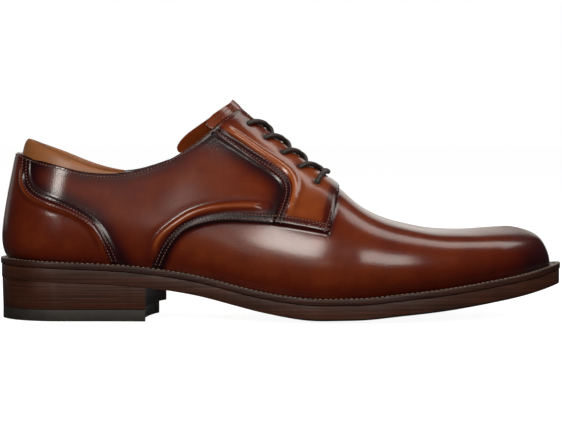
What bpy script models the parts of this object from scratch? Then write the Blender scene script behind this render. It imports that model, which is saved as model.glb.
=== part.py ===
"""A right derby dress shoe in burnished tan leather, standing on its heel and forefoot.

Metres, +X to the toe, +Y to the inner side of the foot, +Z up. The origin is the middle of the
shoe's length and width, on the floor. One function, last_point, gives the form of the last, and the
upper, tongue, padded collar and laces are all worked out from it.
"""
import math

import bmesh
import bpy
import numpy as np

# Sizes of the whole shoe
SHOE_LENGTH = 0.305
SOLE_WIDTH = 0.105
HEEL_HEIGHT = 0.0182
TOE_SPRING = 0.0180
SOLE_ROCKER = 0.0035
LAST_HEIGHT = 0.100

# Sole and heel
WELT_THICKNESS = 0.0035
OUTSOLE_THICKNESS = 0.0069
OUTSOLE_INSET = 0.0005
TOP_PIECE_THICKNESS = 0.0061
STACK_INSET = 0.0008
TOP_PIECE_INSET = 0.0012
WELT_REACH = 0.0057
WELT_LEDGE = 0.0013
INSOLE_RISE = 0.0020

# Heel breast, from the back of the shoe
BREAST_OUTER = 0.0805
BREAST_LEAD = 0.0080
BREAST_HOLLOW = 0.0045
CORNER_CUT = 0.0040

# Leather
WALL = 0.0012
QUARTER_STEP = 0.0010
OVERLAY_STEP = 0.0008
TONGUE_THICKNESS = 0.0024
TONGUE_HALF_WIDTH = 0.0212
TONGUE_RISE = 0.0094
TONGUE_SLOPE = 35.0
TONGUE_TUCK = 0.0080
PAD_THICKNESS = 0.0048
PAD_RISE = 0.0075
BEAD_HALF_WIDTH = 0.0020
BEAD_HEIGHT = 0.0012

# Lacing
THROAT_GAP = 0.0085
LACE_RADIUS = 0.0014
EYELET_RADIUS = 0.0019

# Clearances
FIT_GAP = 0.0003
LINING_GAP = 0.0007
TONGUE_GAP = 0.0011
LACE_GAP = 0.0005

# How far the cutters reach past what they cut
CUT_REACH = 0.0040
FOOT_CUT = 0.0020
PUNCH_DEPTH = 0.0030

# Shares of the sole's length that its rounded ends take
HEEL_ROUND_SHARE = 0.112
TOE_ROUND_SHARE = 0.105

# Facets
RIBS = 36
ROWS = 12
SOLE_ROWS = 6
HEEL_ROWS = 11
TONGUE_ROWS = 11
SIDES = 6
EYELET_SIDES = 8

OUTER, INNER = -1.0, 1.0


class Table:
    """Rows with named columns, read between the rows by a natural cubic spline."""

    def __init__(self, names, rows):
        rows = np.array(rows, float)
        self.names, self.knots, self.values = names[1:], rows[:, 0], rows[:, 1:]
        gaps = np.diff(self.knots)[:, None]
        count = len(self.knots)
        system = np.eye(count)
        for i in range(1, count - 1):
            before, after = gaps[i - 1, 0], gaps[i, 0]
            system[i, i - 1:i + 2] = before, 2 * (before + after), after
        right = np.zeros_like(self.values)
        right[1:-1] = 6 * np.diff(np.diff(self.values, axis=0) / gaps, axis=0)
        self.bends = np.linalg.solve(system, right)

    def row(self, at):
        """Every column's value, by name, at each place along the first column."""
        at = np.clip(np.asarray(at, float), self.knots[0], self.knots[-1])
        cell = np.clip(np.searchsorted(self.knots, at, side="right") - 1, 0, len(self.knots) - 2)
        gap = (self.knots[cell + 1] - self.knots[cell])[..., None]
        done = (at - self.knots[cell])[..., None]
        rest = gap - done
        first, second = self.bends[cell], self.bends[cell + 1]
        found = (first * rest ** 3 + second * done ** 3) / (6 * gap)
        found += (self.values[cell] / gap - first * gap / 6) * rest
        found += (self.values[cell + 1] / gap - second * gap / 6) * done
        return {name: found[..., k] for k, name in enumerate(self.names)}

    def read(self, name, at):
        """The named column's value at each place along the first column."""
        return self.row(at)[name]


# Plan of the sole before its ends are rounded. A station is a share of SHOE_LENGTH from the back.
# Middle and half are shares of SOLE_WIDTH, and a positive middle lies to the inner side.
PLAN = Table(
    ("station", "middle", "half"),
    [
        (0.00, 0.026, 0.326),
        (0.12, 0.028, 0.330),
        (0.25, 0.014, 0.322),
        (0.38, -0.020, 0.338),
        (0.48, -0.030, 0.398),
        (0.58, -0.017, 0.478),
        (0.65, 0.001, 0.496),
        (0.75, 0.015, 0.459),
        (0.85, 0.034, 0.376),
        (0.93, 0.052, 0.300),
        (1.00, 0.062, 0.246),
    ],
)

# Side view of the sole's underside on its middle line, as shares of HEEL_HEIGHT and TOE_SPRING.
# Rocker is the share of SOLE_ROCKER by which the edge is higher than the middle.
UNDERSIDE = Table(
    ("station", "heel", "toe", "rocker"),
    [
        (0.00, 1.225, 0.0, 0.0),
        (0.14, 1.130, 0.0, 0.0),
        (0.26, 1.005, 0.0, 0.0),
        (0.31, 0.890, 0.0, 0.04),
        (0.36, 0.722, 0.0, 0.16),
        (0.41, 0.485, 0.0, 0.33),
        (0.46, 0.255, 0.0, 0.52),
        (0.51, 0.074, 0.0, 0.78),
        (0.55, -0.020, 0.0, 0.95),
        (0.60, 0.0, -0.026, 1.00),
        (0.645, 0.0, -0.008, 1.00),
        (0.70, 0.0, 0.080, 1.00),
        (0.75, 0.0, 0.160, 1.00),
        (0.81, 0.0, 0.282, 0.98),
        (0.88, 0.0, 0.478, 0.88),
        (0.94, 0.0, 0.695, 0.68),
        (1.00, 0.0, 1.000, 0.32),
    ],
)

# Ridge line of the last, along the top of the foot: its height over the welt as a share of
# LAST_HEIGHT, and its place across the shoe as a share of SOLE_WIDTH.
RIDGE = Table(
    ("station", "height", "across"),
    [
        (0.113, 0.967, 0.028),
        (0.205, 1.000, 0.029),
        (0.303, 1.030, 0.033),
        (0.352, 1.033, 0.038),
        (0.411, 0.985, 0.045),
        (0.467, 0.866, 0.051),
        (0.506, 0.782, 0.055),
        (0.542, 0.703, 0.059),
        (0.580, 0.620, 0.062),
        (0.610, 0.548, 0.065),
        (0.641, 0.464, 0.067),
        (0.676, 0.394, 0.068),
        (0.712, 0.346, 0.068),
        (0.748, 0.312, 0.067),
        (0.784, 0.293, 0.066),
        (0.820, 0.280, 0.066),
        (0.855, 0.273, 0.066),
        (0.900, 0.260, 0.066),
    ],
)

# Half sections of the last from the welt line to the ridge: the poles of a cubic B-spline, each a
# share of the way out from the ridge to the welt line and a share of the height between them.
SECTIONS = Table(
    ("station", "low_out", "low_up", "side_out", "side_up", "high_out", "high_up", "top_out"),
    [
        (0.00, 1.144, 0.048, 1.100, 0.238, 0.877, 0.540, 0.582),
        (0.15, 1.110, 0.060, 1.100, 0.250, 0.850, 0.580, 0.570),
        (0.30, 1.085, 0.080, 1.080, 0.300, 0.760, 0.640, 0.480),
        (0.45, 1.080, 0.110, 1.020, 0.380, 0.620, 0.740, 0.320),
        (0.56, 1.090, 0.140, 1.030, 0.470, 0.640, 0.830, 0.330),
        (0.66, 1.110, 0.180, 1.070, 0.560, 0.780, 0.920, 0.420),
        (0.80, 1.090, 0.200, 1.070, 0.620, 0.850, 0.985, 0.480),
        (0.92, 1.050, 0.240, 1.000, 0.620, 0.800, 0.940, 0.380),
        (1.00, 1.000, 0.210, 0.890, 0.540, 0.690, 0.850, 0.220),
    ],
)

# Collar line on each side, from the back seam to the top of the facing: shares of LAST_HEIGHT
# over the welt.
TOPLINE = Table(
    ("station", "outer", "inner"),
    [
        (0.000, 0.592, 0.592),
        (0.039, 0.577, 0.577),
        (0.060, 0.556, 0.560),
        (0.100, 0.527, 0.532),
        (0.150, 0.494, 0.500),
        (0.200, 0.487, 0.490),
        (0.235, 0.504, 0.504),
        (0.270, 0.542, 0.542),
        (0.300, 0.588, 0.588),
        (0.335, 0.666, 0.666),
        (0.370, 0.765, 0.765),
        (0.395, 0.850, 0.850),
        (0.418, 0.925, 0.925),
        (0.460, 1.060, 1.060),
    ],
)

# Side-view lines on the upper: each point is a station and a share of LAST_HEIGHT over the welt
VAMP_SEAM = (
    (0.284, -0.060), (0.298, 0.050), (0.319, 0.168), (0.342, 0.237), (0.370, 0.282),
    (0.411, 0.328), (0.446, 0.350), (0.489, 0.366), (0.523, 0.365), (0.563, 0.352), (0.581, 0.341),
)
TAB_FRONT = (
    (0.581, 0.341), (0.590, 0.428), (0.596, 0.513), (0.600, 0.565), (0.600, 0.600), (0.598, 0.630),
)
FACING_EDGE = (
    (0.371, 0.787), (0.384, 0.763), (0.423, 0.709), (0.463, 0.652), (0.493, 0.600),
    (0.502, 0.566), (0.503, 0.513), (0.495, 0.437), (0.489, 0.380), (0.484, 0.330),
)
COUNTER_EDGE = (
    (0.061, 0.570), (0.061, 0.500), (0.064, 0.423), (0.080, 0.369), (0.117, 0.326),
    (0.157, 0.272), (0.184, 0.212), (0.202, 0.134), (0.218, 0.031), (0.224, -0.050),
)
VAMP_BEAD = (
    (0.278, 0.060), (0.286, 0.153), (0.319, 0.259), (0.353, 0.334), (0.388, 0.383),
    (0.423, 0.418), (0.458, 0.439), (0.474, 0.444),
)
FACING_BEAD = (
    (0.398, 0.815), (0.423, 0.785), (0.453, 0.740), (0.483, 0.697), (0.507, 0.655),
    (0.519, 0.615), (0.523, 0.562), (0.520, 0.506), (0.513, 0.435),
)
COUNTER_BEAD = (
    (0.049, 0.500), (0.048, 0.454), (0.051, 0.389), (0.064, 0.343), (0.090, 0.309),
    (0.130, 0.269), (0.160, 0.225), (0.178, 0.169), (0.190, 0.105), (0.197, 0.055),
)
EYELETS = ((0.440, 0.862), (0.471, 0.804), (0.502, 0.737), (0.532, 0.671), (0.562, 0.594))

# Where the ribs of the last meet the ridge, at the back, at the end of the throat and at the toe
RIDGE_START_SHARE = 0.113
THROAT_END_SHARE = 0.578
RIDGE_END_SHARE = 0.900

# Angle from the back seam over which the two sides' collar lines part
SEAM_ANGLE = 0.4

# Share of each rib over which its normal turns level towards the welt
FOOT_SHARE = 0.07

# Rounding of the corner between the collar line and the facing, as a share of a rib
CORNER_ROUND_SHARE = 0.030

# Profile of the padded collar: how far it lies over or under the upper's rim, as a share of
# PAD_RISE, and how far in from the upper, as a share of PAD_THICKNESS. Its ends are thinner.
PAD_PROFILE = (
    (-2.3, 0.00), (-1.1, 0.00), (0.0, 0.00), (0.55, 0.03), (0.90, 0.22), (1.0, 0.50),
    (0.85, 0.82), (0.30, 1.00), (-0.6, 1.00), (-1.5, 0.66), (-2.3, 0.20),
)
PAD_END_SHARE = 0.197
PAD_TIP_SHARE = 0.20

# Share of its width that the tongue loses towards the vamp
TONGUE_TAPER_SHARE = 0.22

# Finishes: sRGB colour and roughness
LEATHER = ((0.50, 0.22, 0.08), 0.32)
LINING = ((0.68, 0.43, 0.19), 0.55)
WELT_EDGE = ((0.15, 0.09, 0.06), 0.50)
SOLE_EDGE = ((0.22, 0.12, 0.07), 0.45)
STACK = ((0.25, 0.13, 0.07), 0.42)
RUBBER = ((0.06, 0.05, 0.05), 0.65)
CORD = ((0.10, 0.07, 0.06), 0.75)


def station(x):
    """Share of the shoe's length from its back."""
    return np.asarray(x, float) / SHOE_LENGTH + 0.5


def at_station(share):
    """x at a share of the shoe's length from its back."""
    return (np.asarray(share, float) - 0.5) * SHOE_LENGTH


def closing(share):
    """1 along the sole, falling to 0 round its heel and round its toe."""
    back = np.clip(1 - share / HEEL_ROUND_SHARE, 0, 1)
    front = np.clip(1 - (1 - share) / TOE_ROUND_SHARE, 0, 1)
    return np.sqrt(1 - back ** 2) * np.sqrt(1 - front ** 2.2)


def underside(x, out=0.0):
    """Height of the outsole's underside, at a share of the way out from its middle line."""
    row = UNDERSIDE.row(station(x))
    middle = HEEL_HEIGHT * row["heel"] + TOE_SPRING * row["toe"]
    rise = SOLE_ROCKER * np.maximum(row["rocker"], 0)
    return np.maximum(middle + rise * np.abs(out) ** 3, 0.0)


def welt_bottom(x):
    """Height of the outsole's top face."""
    return underside(x, 1.0) + OUTSOLE_THICKNESS


def welt_top(x):
    """Height of the welt's top face, on which the upper stands."""
    return welt_bottom(x) + WELT_THICKNESS


def plan_point(share, out, inset):
    """Point (x, y) inside the sole's outline drawn in by inset, out being -1 at the outer edge
    and 1 at the inner one."""
    x = (share - 0.5) * (SHOE_LENGTH - 2 * inset)
    row = PLAN.row(station(x))
    half = row["half"] * SOLE_WIDTH - inset
    return x, row["middle"] * SOLE_WIDTH + out * half * closing(share)


def share_of(angle):
    """Share of the way from back to toe, at angles from 0 to pi round the outline."""
    return (1 - np.cos(angle)) / 2


def angle_at_ridge(at):
    """Angle of the rib that meets the ridge at a station."""
    share = (np.asarray(at, float) - RIDGE_START_SHARE) / (RIDGE_END_SHARE - RIDGE_START_SHARE)
    return np.arccos(np.clip(1 - 2 * share, -1, 1))


def ridge_height(x):
    """Height of the last's ridge."""
    return welt_top(x) + LAST_HEIGHT * RIDGE.read("height", station(x))


def spline_weights(v):
    """Weights of the six poles of a clamped cubic B-spline."""
    knots = [0, 0, 0, 0, 1 / 3, 2 / 3, 1, 1, 1, 1]
    weights = [((v >= knots[i]) & (v < knots[i + 1])).astype(float) for i in range(9)]
    weights[5] = np.where(v >= 1, 1.0, weights[5])
    for degree in range(1, 4):
        raised = []
        for i in range(9 - degree):
            first = knots[i + degree] - knots[i]
            second = knots[i + degree + 1] - knots[i + 1]
            rising = (v - knots[i]) / first * weights[i] if first else 0.0
            falling = (knots[i + degree + 1] - v) / second * weights[i + 1] if second else 0.0
            raised.append(rising + falling)
        weights = raised
    return weights


def last_point(angle, v, side):
    """Point on the last, at an angle round it and at a share v of the way up from the welt to the
    ridge. Each rib stands over one point of the welt line and leans to its own point of the
    ridge. The top pole lies straight across, so that both sides meet on the ridge smoothly."""
    share = share_of(angle)
    x_low, y_low = plan_point(share, side, WELT_REACH)
    x_top = at_station(RIDGE_START_SHARE + share * (RIDGE_END_SHARE - RIDGE_START_SHARE))
    y_top = RIDGE.read("across", station(x_top)) * SOLE_WIDTH
    z_low, z_top = welt_top(x_low) + FIT_GAP, ridge_height(x_top)
    row = SECTIONS.row(share)
    outs = [1.0, row["low_out"], row["side_out"], row["high_out"], row["top_out"], 0.0]
    ups = [0.0, row["low_up"], row["side_up"], row["high_up"], 1.0, 1.0]
    weights = spline_weights(v)
    out = sum(w * o for w, o in zip(weights, outs))
    forward = out - weights[4] * row["top_out"] * (1 - np.abs(2 * share - 1) ** 8)
    up = sum(w * u for w, u in zip(weights, ups))
    x = x_top + (x_low - x_top) * forward
    y = y_top + (y_low - y_top) * out
    return np.stack(np.broadcast_arrays(x, y, z_low + (z_top - z_low) * up), axis=-1)


def unit(vectors):
    """Vectors at length 1."""
    return vectors / np.linalg.norm(vectors, axis=-1, keepdims=True)


def last_normal(angle, v, side):
    """Outward normal of the last. On the ridge, the back seam and the toe seam it lies in the
    plane between the two sides, and on the welt line it is level."""
    angle, v = np.broadcast_arrays(np.asarray(angle, float), np.asarray(v, float))
    step = 1e-4
    low_v = np.clip(v - step, 0, 1 - 2 * step)
    up = last_point(angle, low_v + 2 * step, side) - last_point(angle, low_v, side)
    low_a = np.clip(angle - step, 0, math.pi - 2 * step)
    along = last_point(low_a + 2 * step, v, side) - last_point(low_a, v, side)
    seam = (angle < step) | (angle > math.pi - step)
    flat = (v >= 1)[..., None] | seam[..., None]
    normal = unit(np.where(flat, 1.0, np.cross(up, along) * side))
    x = last_point(angle, v, side)[..., 0]
    slope = (ridge_height(x + step) - ridge_height(x - step)) / (2 * step)
    on_ridge = unit(np.stack([-slope, 0 * slope, 1 + 0 * slope], axis=-1))
    facing = np.where(angle > math.pi / 2, 1.0, -1.0)
    on_seam = unit(np.stack([up[..., 2] * facing, 0 * up[..., 2], -up[..., 0] * facing], axis=-1))
    normal = np.where((v >= 1)[..., None], on_ridge, normal)
    normal = np.where((seam & (v < 1))[..., None], on_seam, normal)
    level = np.clip(v / FOOT_SHARE, 0, 1)
    return unit(normal * np.stack([1 + 0 * level, 1 + 0 * level, level], axis=-1))


def skin_point(angle, v, side, offset, sink=0.0):
    """Point at a distance outside the last. Its lowest points stand on the welt, or lie below its
    top by sink."""
    angle, v = np.broadcast_arrays(np.asarray(angle, float), np.asarray(v, float))
    offset = np.asarray(offset, float)
    point = last_point(angle, v, side) + last_normal(angle, v, side) * offset[..., None]
    point[..., 2] = np.where(v <= 0, welt_top(point[..., 0]) + FIT_GAP - sink, point[..., 2])
    return point


def solve(low, high, is_above):
    """Where is_above turns true between low and high, by halving."""
    for _ in range(26):
        middle = (low + high) / 2
        above = is_above(middle)
        low, high = np.where(above, low, middle), np.where(above, middle, high)
    return (low + high) / 2


def v_at_gap(angle, side, gap):
    """v on each rib at a distance from its own point of the ridge, seen from above."""
    top = last_point(angle, np.ones_like(angle), side)[..., :2]

    def is_above(v):
        return np.linalg.norm(last_point(angle, v, side)[..., :2] - top, axis=-1) < gap

    return solve(np.zeros_like(angle), np.ones_like(angle), is_above)


def v_at_height(angle, side, height_at):
    """v on each rib where it reaches the height that height_at gives for its x."""

    def is_above(v):
        point = last_point(angle, v, side)
        return point[..., 2] > height_at(point[..., 0])

    return solve(np.zeros_like(angle), np.ones_like(angle), is_above)


def topline_height(angle, side):
    """Function of x for the height of the collar line, the same on both sides at the back seam."""
    turned = np.clip(angle / SEAM_ANGLE, 0, 1) * (side == INNER)

    def height_at(x):
        row = TOPLINE.row(station(x))
        share = row["outer"] * (1 - turned) + row["inner"] * turned
        return welt_top(x) + LAST_HEIGHT * share

    return height_at


def rim(angle, side):
    """v of the upper's top edge on each rib: the collar line, then the edge of the facing."""
    top = v_at_height(angle, side, topline_height(angle, side))
    gap = v_at_gap(angle, side, THROAT_GAP / 2)
    blend = np.clip(0.5 + (gap - top) / (2 * CORNER_ROUND_SHARE), 0, 1)
    return gap * (1 - blend) + top * blend - CORNER_ROUND_SHARE * blend * (1 - blend)


def smooth_line(points, count):
    """Points evenly spaced along a smooth curve through a few."""
    points = np.array(points, float)
    steps = np.linalg.norm(np.diff(points, axis=0), axis=1)
    reach = np.concatenate([[0.0], np.cumsum(steps)])
    line = Table(("reach", "station", "height"), np.column_stack([reach, points]))
    even = np.linspace(0, reach[-1], count)
    return np.column_stack([line.read("station", even), line.read("height", even)])


def side_view(points):
    """x and z of points given by station and share of LAST_HEIGHT."""
    points = np.array(points, float)
    x = at_station(points[:, 0])
    return x, welt_top(x) + LAST_HEIGHT * points[:, 1]


def locate(points, side):
    """Angle and v on a side of the last of points given in side view, by Newton's method."""
    x, z = side_view(points)
    angle = np.arccos(np.clip(1 - 2 * station(x), -0.98, 0.98))
    v = np.clip((z - welt_top(x)) / (ridge_height(x) - welt_top(x)), 0.02, 0.95)
    step = 1e-4
    for _ in range(25):
        here = last_point(angle, v, side)
        by_angle = (last_point(angle + step, v, side) - here)[:, ::2] / step
        by_v = (here - last_point(angle, v - step, side))[:, ::2] / step
        miss = np.column_stack([x, z]) - here[:, ::2]
        area = by_angle[:, 0] * by_v[:, 1] - by_angle[:, 1] * by_v[:, 0]
        turn = (miss[:, 0] * by_v[:, 1] - miss[:, 1] * by_v[:, 0]) / area
        climb = (by_angle[:, 0] * miss[:, 1] - by_angle[:, 1] * miss[:, 0]) / area
        angle = np.clip(angle + np.clip(turn, -0.1, 0.1), 0.03, math.pi - 0.03)
        v = np.clip(v + np.clip(climb, -0.05, 0.05), 0.002, 0.99)
    return angle, v


def finish(name, bm, look):
    """Makes an object with its own material from a closed bmesh."""
    bmesh.ops.recalc_face_normals(bm, faces=bm.faces)
    if bm.calc_volume(signed=True) < 0:
        bmesh.ops.reverse_faces(bm, faces=bm.faces)
    mesh = bpy.data.meshes.new(name)
    bm.to_mesh(mesh)
    bm.free()
    mesh.shade_smooth()
    mesh.set_sharp_from_angle(angle=math.radians(40))
    made = bpy.data.objects.new(name, mesh)
    bpy.context.scene.collection.objects.link(made)
    colour, roughness = look
    material = bpy.data.materials.new(name + "_finish")
    material.use_nodes = True
    shader = material.node_tree.nodes["Principled BSDF"]
    shader.inputs["Base Color"].default_value = (*colour, 1.0)
    shader.inputs["Roughness"].default_value = roughness
    shader.inputs["Metallic"].default_value = 0.0
    mesh.materials.append(material)
    return made


def between(name, patches, look, keep=None):
    """A solid between two faces, each made of matching grids of points. Points of one face that
    coincide share a vertex, and the face's open edges are walled up to the other face."""
    bm = bmesh.new()
    known = ({}, {})
    across = {}

    def vertex(face, place):
        key = tuple(np.round(place * 1e7).astype(int))
        if key not in known[face]:
            known[face][key] = bm.verts.new(place)
        return known[face][key]

    for grids in patches:
        for i in range(grids[0].shape[0] - 1):
            for j in range(grids[0].shape[1] - 1):
                if keep is not None and not keep(i, j):
                    continue
                a, b, c, d = (i, j), (i + 1, j), (i + 1, j + 1), (i, j + 1)
                halves = ((a, b, c), (a, c, d)) if i else ((a, b, d), (b, c, d))
                for places in halves:
                    sheets = [[vertex(face, grids[face][p]) for p in places] for face in (0, 1)]
                    across.update(zip(*sheets))
                    for corners in sheets:
                        if len(set(corners)) == 3:
                            bm.faces.new(corners)
    for edge in [e for e in bm.edges if len(e.link_faces) == 1]:
        a, b = edge.verts
        if a in across:
            bm.faces.new((a, b, across[b], across[a]))
    return finish(name, bm, look)


def tube(name, rings, look):
    """A solid along rings of points, with a flat face on each end."""
    bm = bmesh.new()
    lines = [[bm.verts.new(place) for place in ring] for ring in rings]
    for first, second in zip(lines, lines[1:]):
        for k in range(len(first)):
            following = (k + 1) % len(first)
            bm.faces.new((first[k], first[following], second[following], second[k]))
    bm.faces.new(lines[0])
    bm.faces.new(lines[-1])
    return finish(name, bm, look)


def rings_along(points, normals, half_width, half_height, sides):
    """Oval rings round a path, flat against the surface that the normals stand on."""
    along = unit(np.gradient(points, axis=0))
    across = unit(np.cross(along, normals))
    up = unit(np.cross(across, along))
    turns = np.arange(sides) * 2 * math.pi / sides
    return [
        [p + a * half_width * math.cos(t) + u * half_height * math.sin(t) for t in turns]
        for p, a, u in zip(points, across, up)
    ]


def cutter(made):
    """Marks an object as a cutter, which shapes others and isn't part of the shoe."""
    made.hide_render = True
    made.display_type = "WIRE"
    return made


def combine(target, tool, operation):
    """Cuts, joins or crops one solid with another."""
    modifier = target.modifiers.new(tool.name, "BOOLEAN")
    modifier.operation = operation
    modifier.solver = "EXACT"
    modifier.object = tool


def rib_angles():
    """Angles of the ribs, with more of them at the top of the facing and one at the throat's end."""
    extra = angle_at_ridge([0.405, 0.420, 0.435, 0.450, THROAT_END_SHARE])
    even = np.linspace(0, math.pi, RIBS + 1)
    clear = np.array([np.abs(extra - angle).min() > 0.025 for angle in even])
    return np.sort(np.concatenate([even[clear], extra]))


def spread(count):
    """Shares from 0 to 1, closer together at both ends."""
    even = np.linspace(0, 1, count + 1)
    return 0.45 * even + 0.55 * share_of(math.pi * even)


def upper_grid(angles, side, offset, sink=0.0, whole=False):
    """Grid of points on one side of the upper at an offset from the last. The last row lies on
    the ridge. A whole one ignores the rim."""
    top = np.ones_like(angles) if whole else rim(angles, side)
    v = top[:, None] * spread(ROWS)[None, :]
    if not whole:
        v = np.column_stack([v, np.ones_like(angles)])
    return skin_point(angles[:, None], v, side, offset, sink)


def make_sheet(name, inner, outer, angles, look, sink):
    """The space over the whole last between two offsets, as a cutter's form."""
    patches = [
        (upper_grid(angles, side, outer, sink, True), upper_grid(angles, side, inner, sink, True))
        for side in (OUTER, INNER)
    ]
    return between(name, patches, look)


def make_prism(name, outline, look):
    """A block right across the shoe with a side-view outline."""
    x, z = outline
    rings = [[(a, y, b) for a, b in zip(x, z)] for y in (-SOLE_WIDTH, SOLE_WIDTH)]
    return tube(name, rings, look)


def make_upper():
    """The upper: one hollow skin, thickest at the counter and the facings, with a step down to
    the quarters and another to the vamp, and a raised bead inside each panel's edge."""
    angles = rib_angles()
    throat = int(np.argmin(np.abs(angles - angle_at_ridge(THROAT_END_SHARE))))
    full = QUARTER_STEP + OVERLAY_STEP
    patches = [
        (upper_grid(angles, side, full), upper_grid(angles, side, -WALL))
        for side in (OUTER, INNER)
    ]
    upper = between("upper", patches, LEATHER, lambda i, j: j < ROWS or i >= throat)

    low, high, ahead = -0.30, 1.40, 1.10
    vamp_outline = np.concatenate([
        [(VAMP_SEAM[0][0] - 0.02, low)], smooth_line(VAMP_SEAM, 20), smooth_line(TAB_FRONT, 10)[1:],
        [(TAB_FRONT[-1][0], high), (ahead, high), (ahead, low)],
    ])
    quarter_outline = np.concatenate([
        [(FACING_EDGE[0][0] - 0.02, high)], smooth_line(FACING_EDGE, 18),
        [(FACING_EDGE[-1][0], low), (COUNTER_EDGE[-1][0], low)],
        smooth_line(COUNTER_EDGE, 18)[::-1], [(COUNTER_EDGE[0][0], high)],
    ])
    reach = full + CUT_REACH
    for name, outline, level in (
        ("vamp", vamp_outline, 0.0),
        ("quarter", quarter_outline, QUARTER_STEP),
    ):
        relief = cutter(make_sheet(name + "_relief", level, reach, angles, LEATHER, FOOT_CUT))
        crop = cutter(make_prism(name + "_outline", side_view(outline), LEATHER))
        combine(relief, crop, "INTERSECT")
        combine(upper, relief, "DIFFERENCE")

    for name, line, level, count in (
        ("vamp_bead", VAMP_BEAD, QUARTER_STEP, 12),
        ("facing_bead", FACING_BEAD, full, 12),
        ("counter_bead", COUNTER_BEAD, full, 13),
    ):
        for side, label in ((OUTER, "outer"), (INNER, "inner")):
            angle, v = locate(smooth_line(line, count), side)
            points = skin_point(angle, v, side, level - BEAD_HEIGHT * 0.1)
            rings = rings_along(points, last_normal(angle, v, side), BEAD_HALF_WIDTH,
                                BEAD_HEIGHT * 1.1, SIDES)
            combine(upper, cutter(tube(f"{name}_{label}", rings, LEATHER)), "UNION")

    for side, label in ((OUTER, "outer"), (INNER, "inner")):
        angle, v = locate(EYELETS, side)
        normals = last_normal(angle, v, side)
        centres = skin_point(angle, v, side, 0.0)
        for k in range(len(EYELETS)):
            ends = np.array([centres[k] - normals[k] * PUNCH_DEPTH, centres[k] + normals[k] * reach])
            across = unit(np.cross(normals[k], [1.0, 0.0, 0.0]))
            rings = rings_along(ends, np.array([across, across]), EYELET_RADIUS, EYELET_RADIUS, EYELET_SIDES)
            punch = cutter(tube(f"eyelet_{label}_{k + 1}", rings, LEATHER))
            combine(upper, punch, "DIFFERENCE")
    return upper


def make_tongue():
    """The tongue: a thin tapering skin under the facings, tucked under the vamp. Its top is cut
    along a plane at TONGUE_SLOPE degrees to the floor, TONGUE_RISE above the top eyelets."""
    over = QUARTER_STEP + OVERLAY_STEP
    slope = math.radians(TONGUE_SLOPE)
    lean = np.array([math.sin(slope), 0.0, -math.cos(slope)])
    top = np.dot(skin_point(angle_at_ridge(0.440), 1.0, OUTER, over), lean) - TONGUE_RISE
    bottom = angle_at_ridge(THROAT_END_SHARE + TONGUE_TUCK / SHOE_LENGTH)
    outer = -WALL - TONGUE_GAP
    done = np.linspace(0, 1, TONGUE_ROWS + 1)[:, None]
    across = np.linspace(1, 0, SOLE_ROWS + 1)
    patches = []
    for side in (OUTER, INNER):

        def v_across(angle, width):
            return np.where(width > 0, v_at_gap(angle, side, width), 1.0)

        def past_top(angle):
            v = v_across(angle, across * TONGUE_HALF_WIDTH)
            return np.dot(skin_point(angle, v, side, outer), lean) > top

        start = solve(np.full_like(across, 0.9), np.full_like(across, bottom), past_top)
        angle = start + (bottom - start) * done
        width = across * TONGUE_HALF_WIDTH * (1 - TONGUE_TAPER_SHARE * done)
        v = v_across(angle, width)
        patches.append([skin_point(angle, v, side, outer - k) for k in (0, TONGUE_THICKNESS)])
    return between("tongue", patches, LEATHER)


def make_collar_pad():
    """The padded roll of lining inside the back of the collar, standing above the rim."""
    angles = rib_angles()
    angles = angles[share_of(angles) < PAD_END_SHARE]
    profile = np.array(PAD_PROFILE)
    rise, depth = profile[:, 0] * PAD_RISE, profile[:, 1] * PAD_THICKNESS
    full = np.clip(1 - (share_of(angles) / PAD_END_SHARE) ** 1.5, 0, 1)[:, None]
    full = PAD_TIP_SHARE + (1 - PAD_TIP_SHARE) * full
    lift = np.where(rise > 0, rise * full, rise)
    sides = []
    for side in (OUTER, INNER):
        spread_angles = np.broadcast_to(angles[:, None], lift.shape)
        edge = last_point(angles, rim(angles, side), side)[:, 2:]
        v = v_at_height(spread_angles, side, lambda x: edge + lift)
        inward = WALL + LINING_GAP + depth * (PAD_TIP_SHARE + (1 - PAD_TIP_SHARE) * full)
        sides.append(skin_point(spread_angles, v, side, -inward))
    rings = list(sides[0][::-1]) + list(sides[1][1:])
    return tube("collar_pad", rings, LINING)


def slab_grid(inset, height):
    """Grid over the sole's plan drawn in by inset, with height as a function of x and out."""
    share = share_of(np.linspace(0, math.pi, RIBS + 1))[:, None]
    out = np.linspace(-1, 1, SOLE_ROWS + 1)[None, :]
    x, y = plan_point(share, out, inset)
    x, out = np.broadcast_arrays(x, out)
    return np.stack([x, y, height(x, out)], axis=-1)


def make_outsole():
    """The outsole, with its toe spring, its arch and its rocker."""
    top = slab_grid(OUTSOLE_INSET, lambda x, out: welt_bottom(x))
    bottom = slab_grid(OUTSOLE_INSET, lambda x, out: underside(x, out))
    return between("outsole", [(top, bottom)], SOLE_EDGE)


def make_welt():
    """The welt: a flat strip all round, on which the upper stands."""
    share = share_of(np.linspace(0, math.pi, RIBS + 1))
    inner = WELT_REACH + WALL + WELT_LEDGE
    patches = []
    for side in (OUTER, INNER):
        faces = []
        for height, gap in ((welt_top, 0.0), (welt_bottom, FIT_GAP)):
            edges = []
            for inset in (0.0, inner):
                x, y = plan_point(share, side, inset)
                edges.append(np.stack([x, y, height(x) + gap], axis=-1))
            faces.append(np.stack(edges, axis=1))
        patches.append(faces)
    return between("welt", patches, WELT_EDGE)


def make_insole():
    """The insole, inside the welt and the foot of the upper."""
    inset = WELT_REACH + WALL + WELT_LEDGE + FIT_GAP
    top = slab_grid(inset, lambda x, out: welt_top(x) + INSOLE_RISE)
    bottom = slab_grid(inset, lambda x, out: welt_bottom(x) + FIT_GAP)
    return between("insole", [(top, bottom)], LINING)


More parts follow.
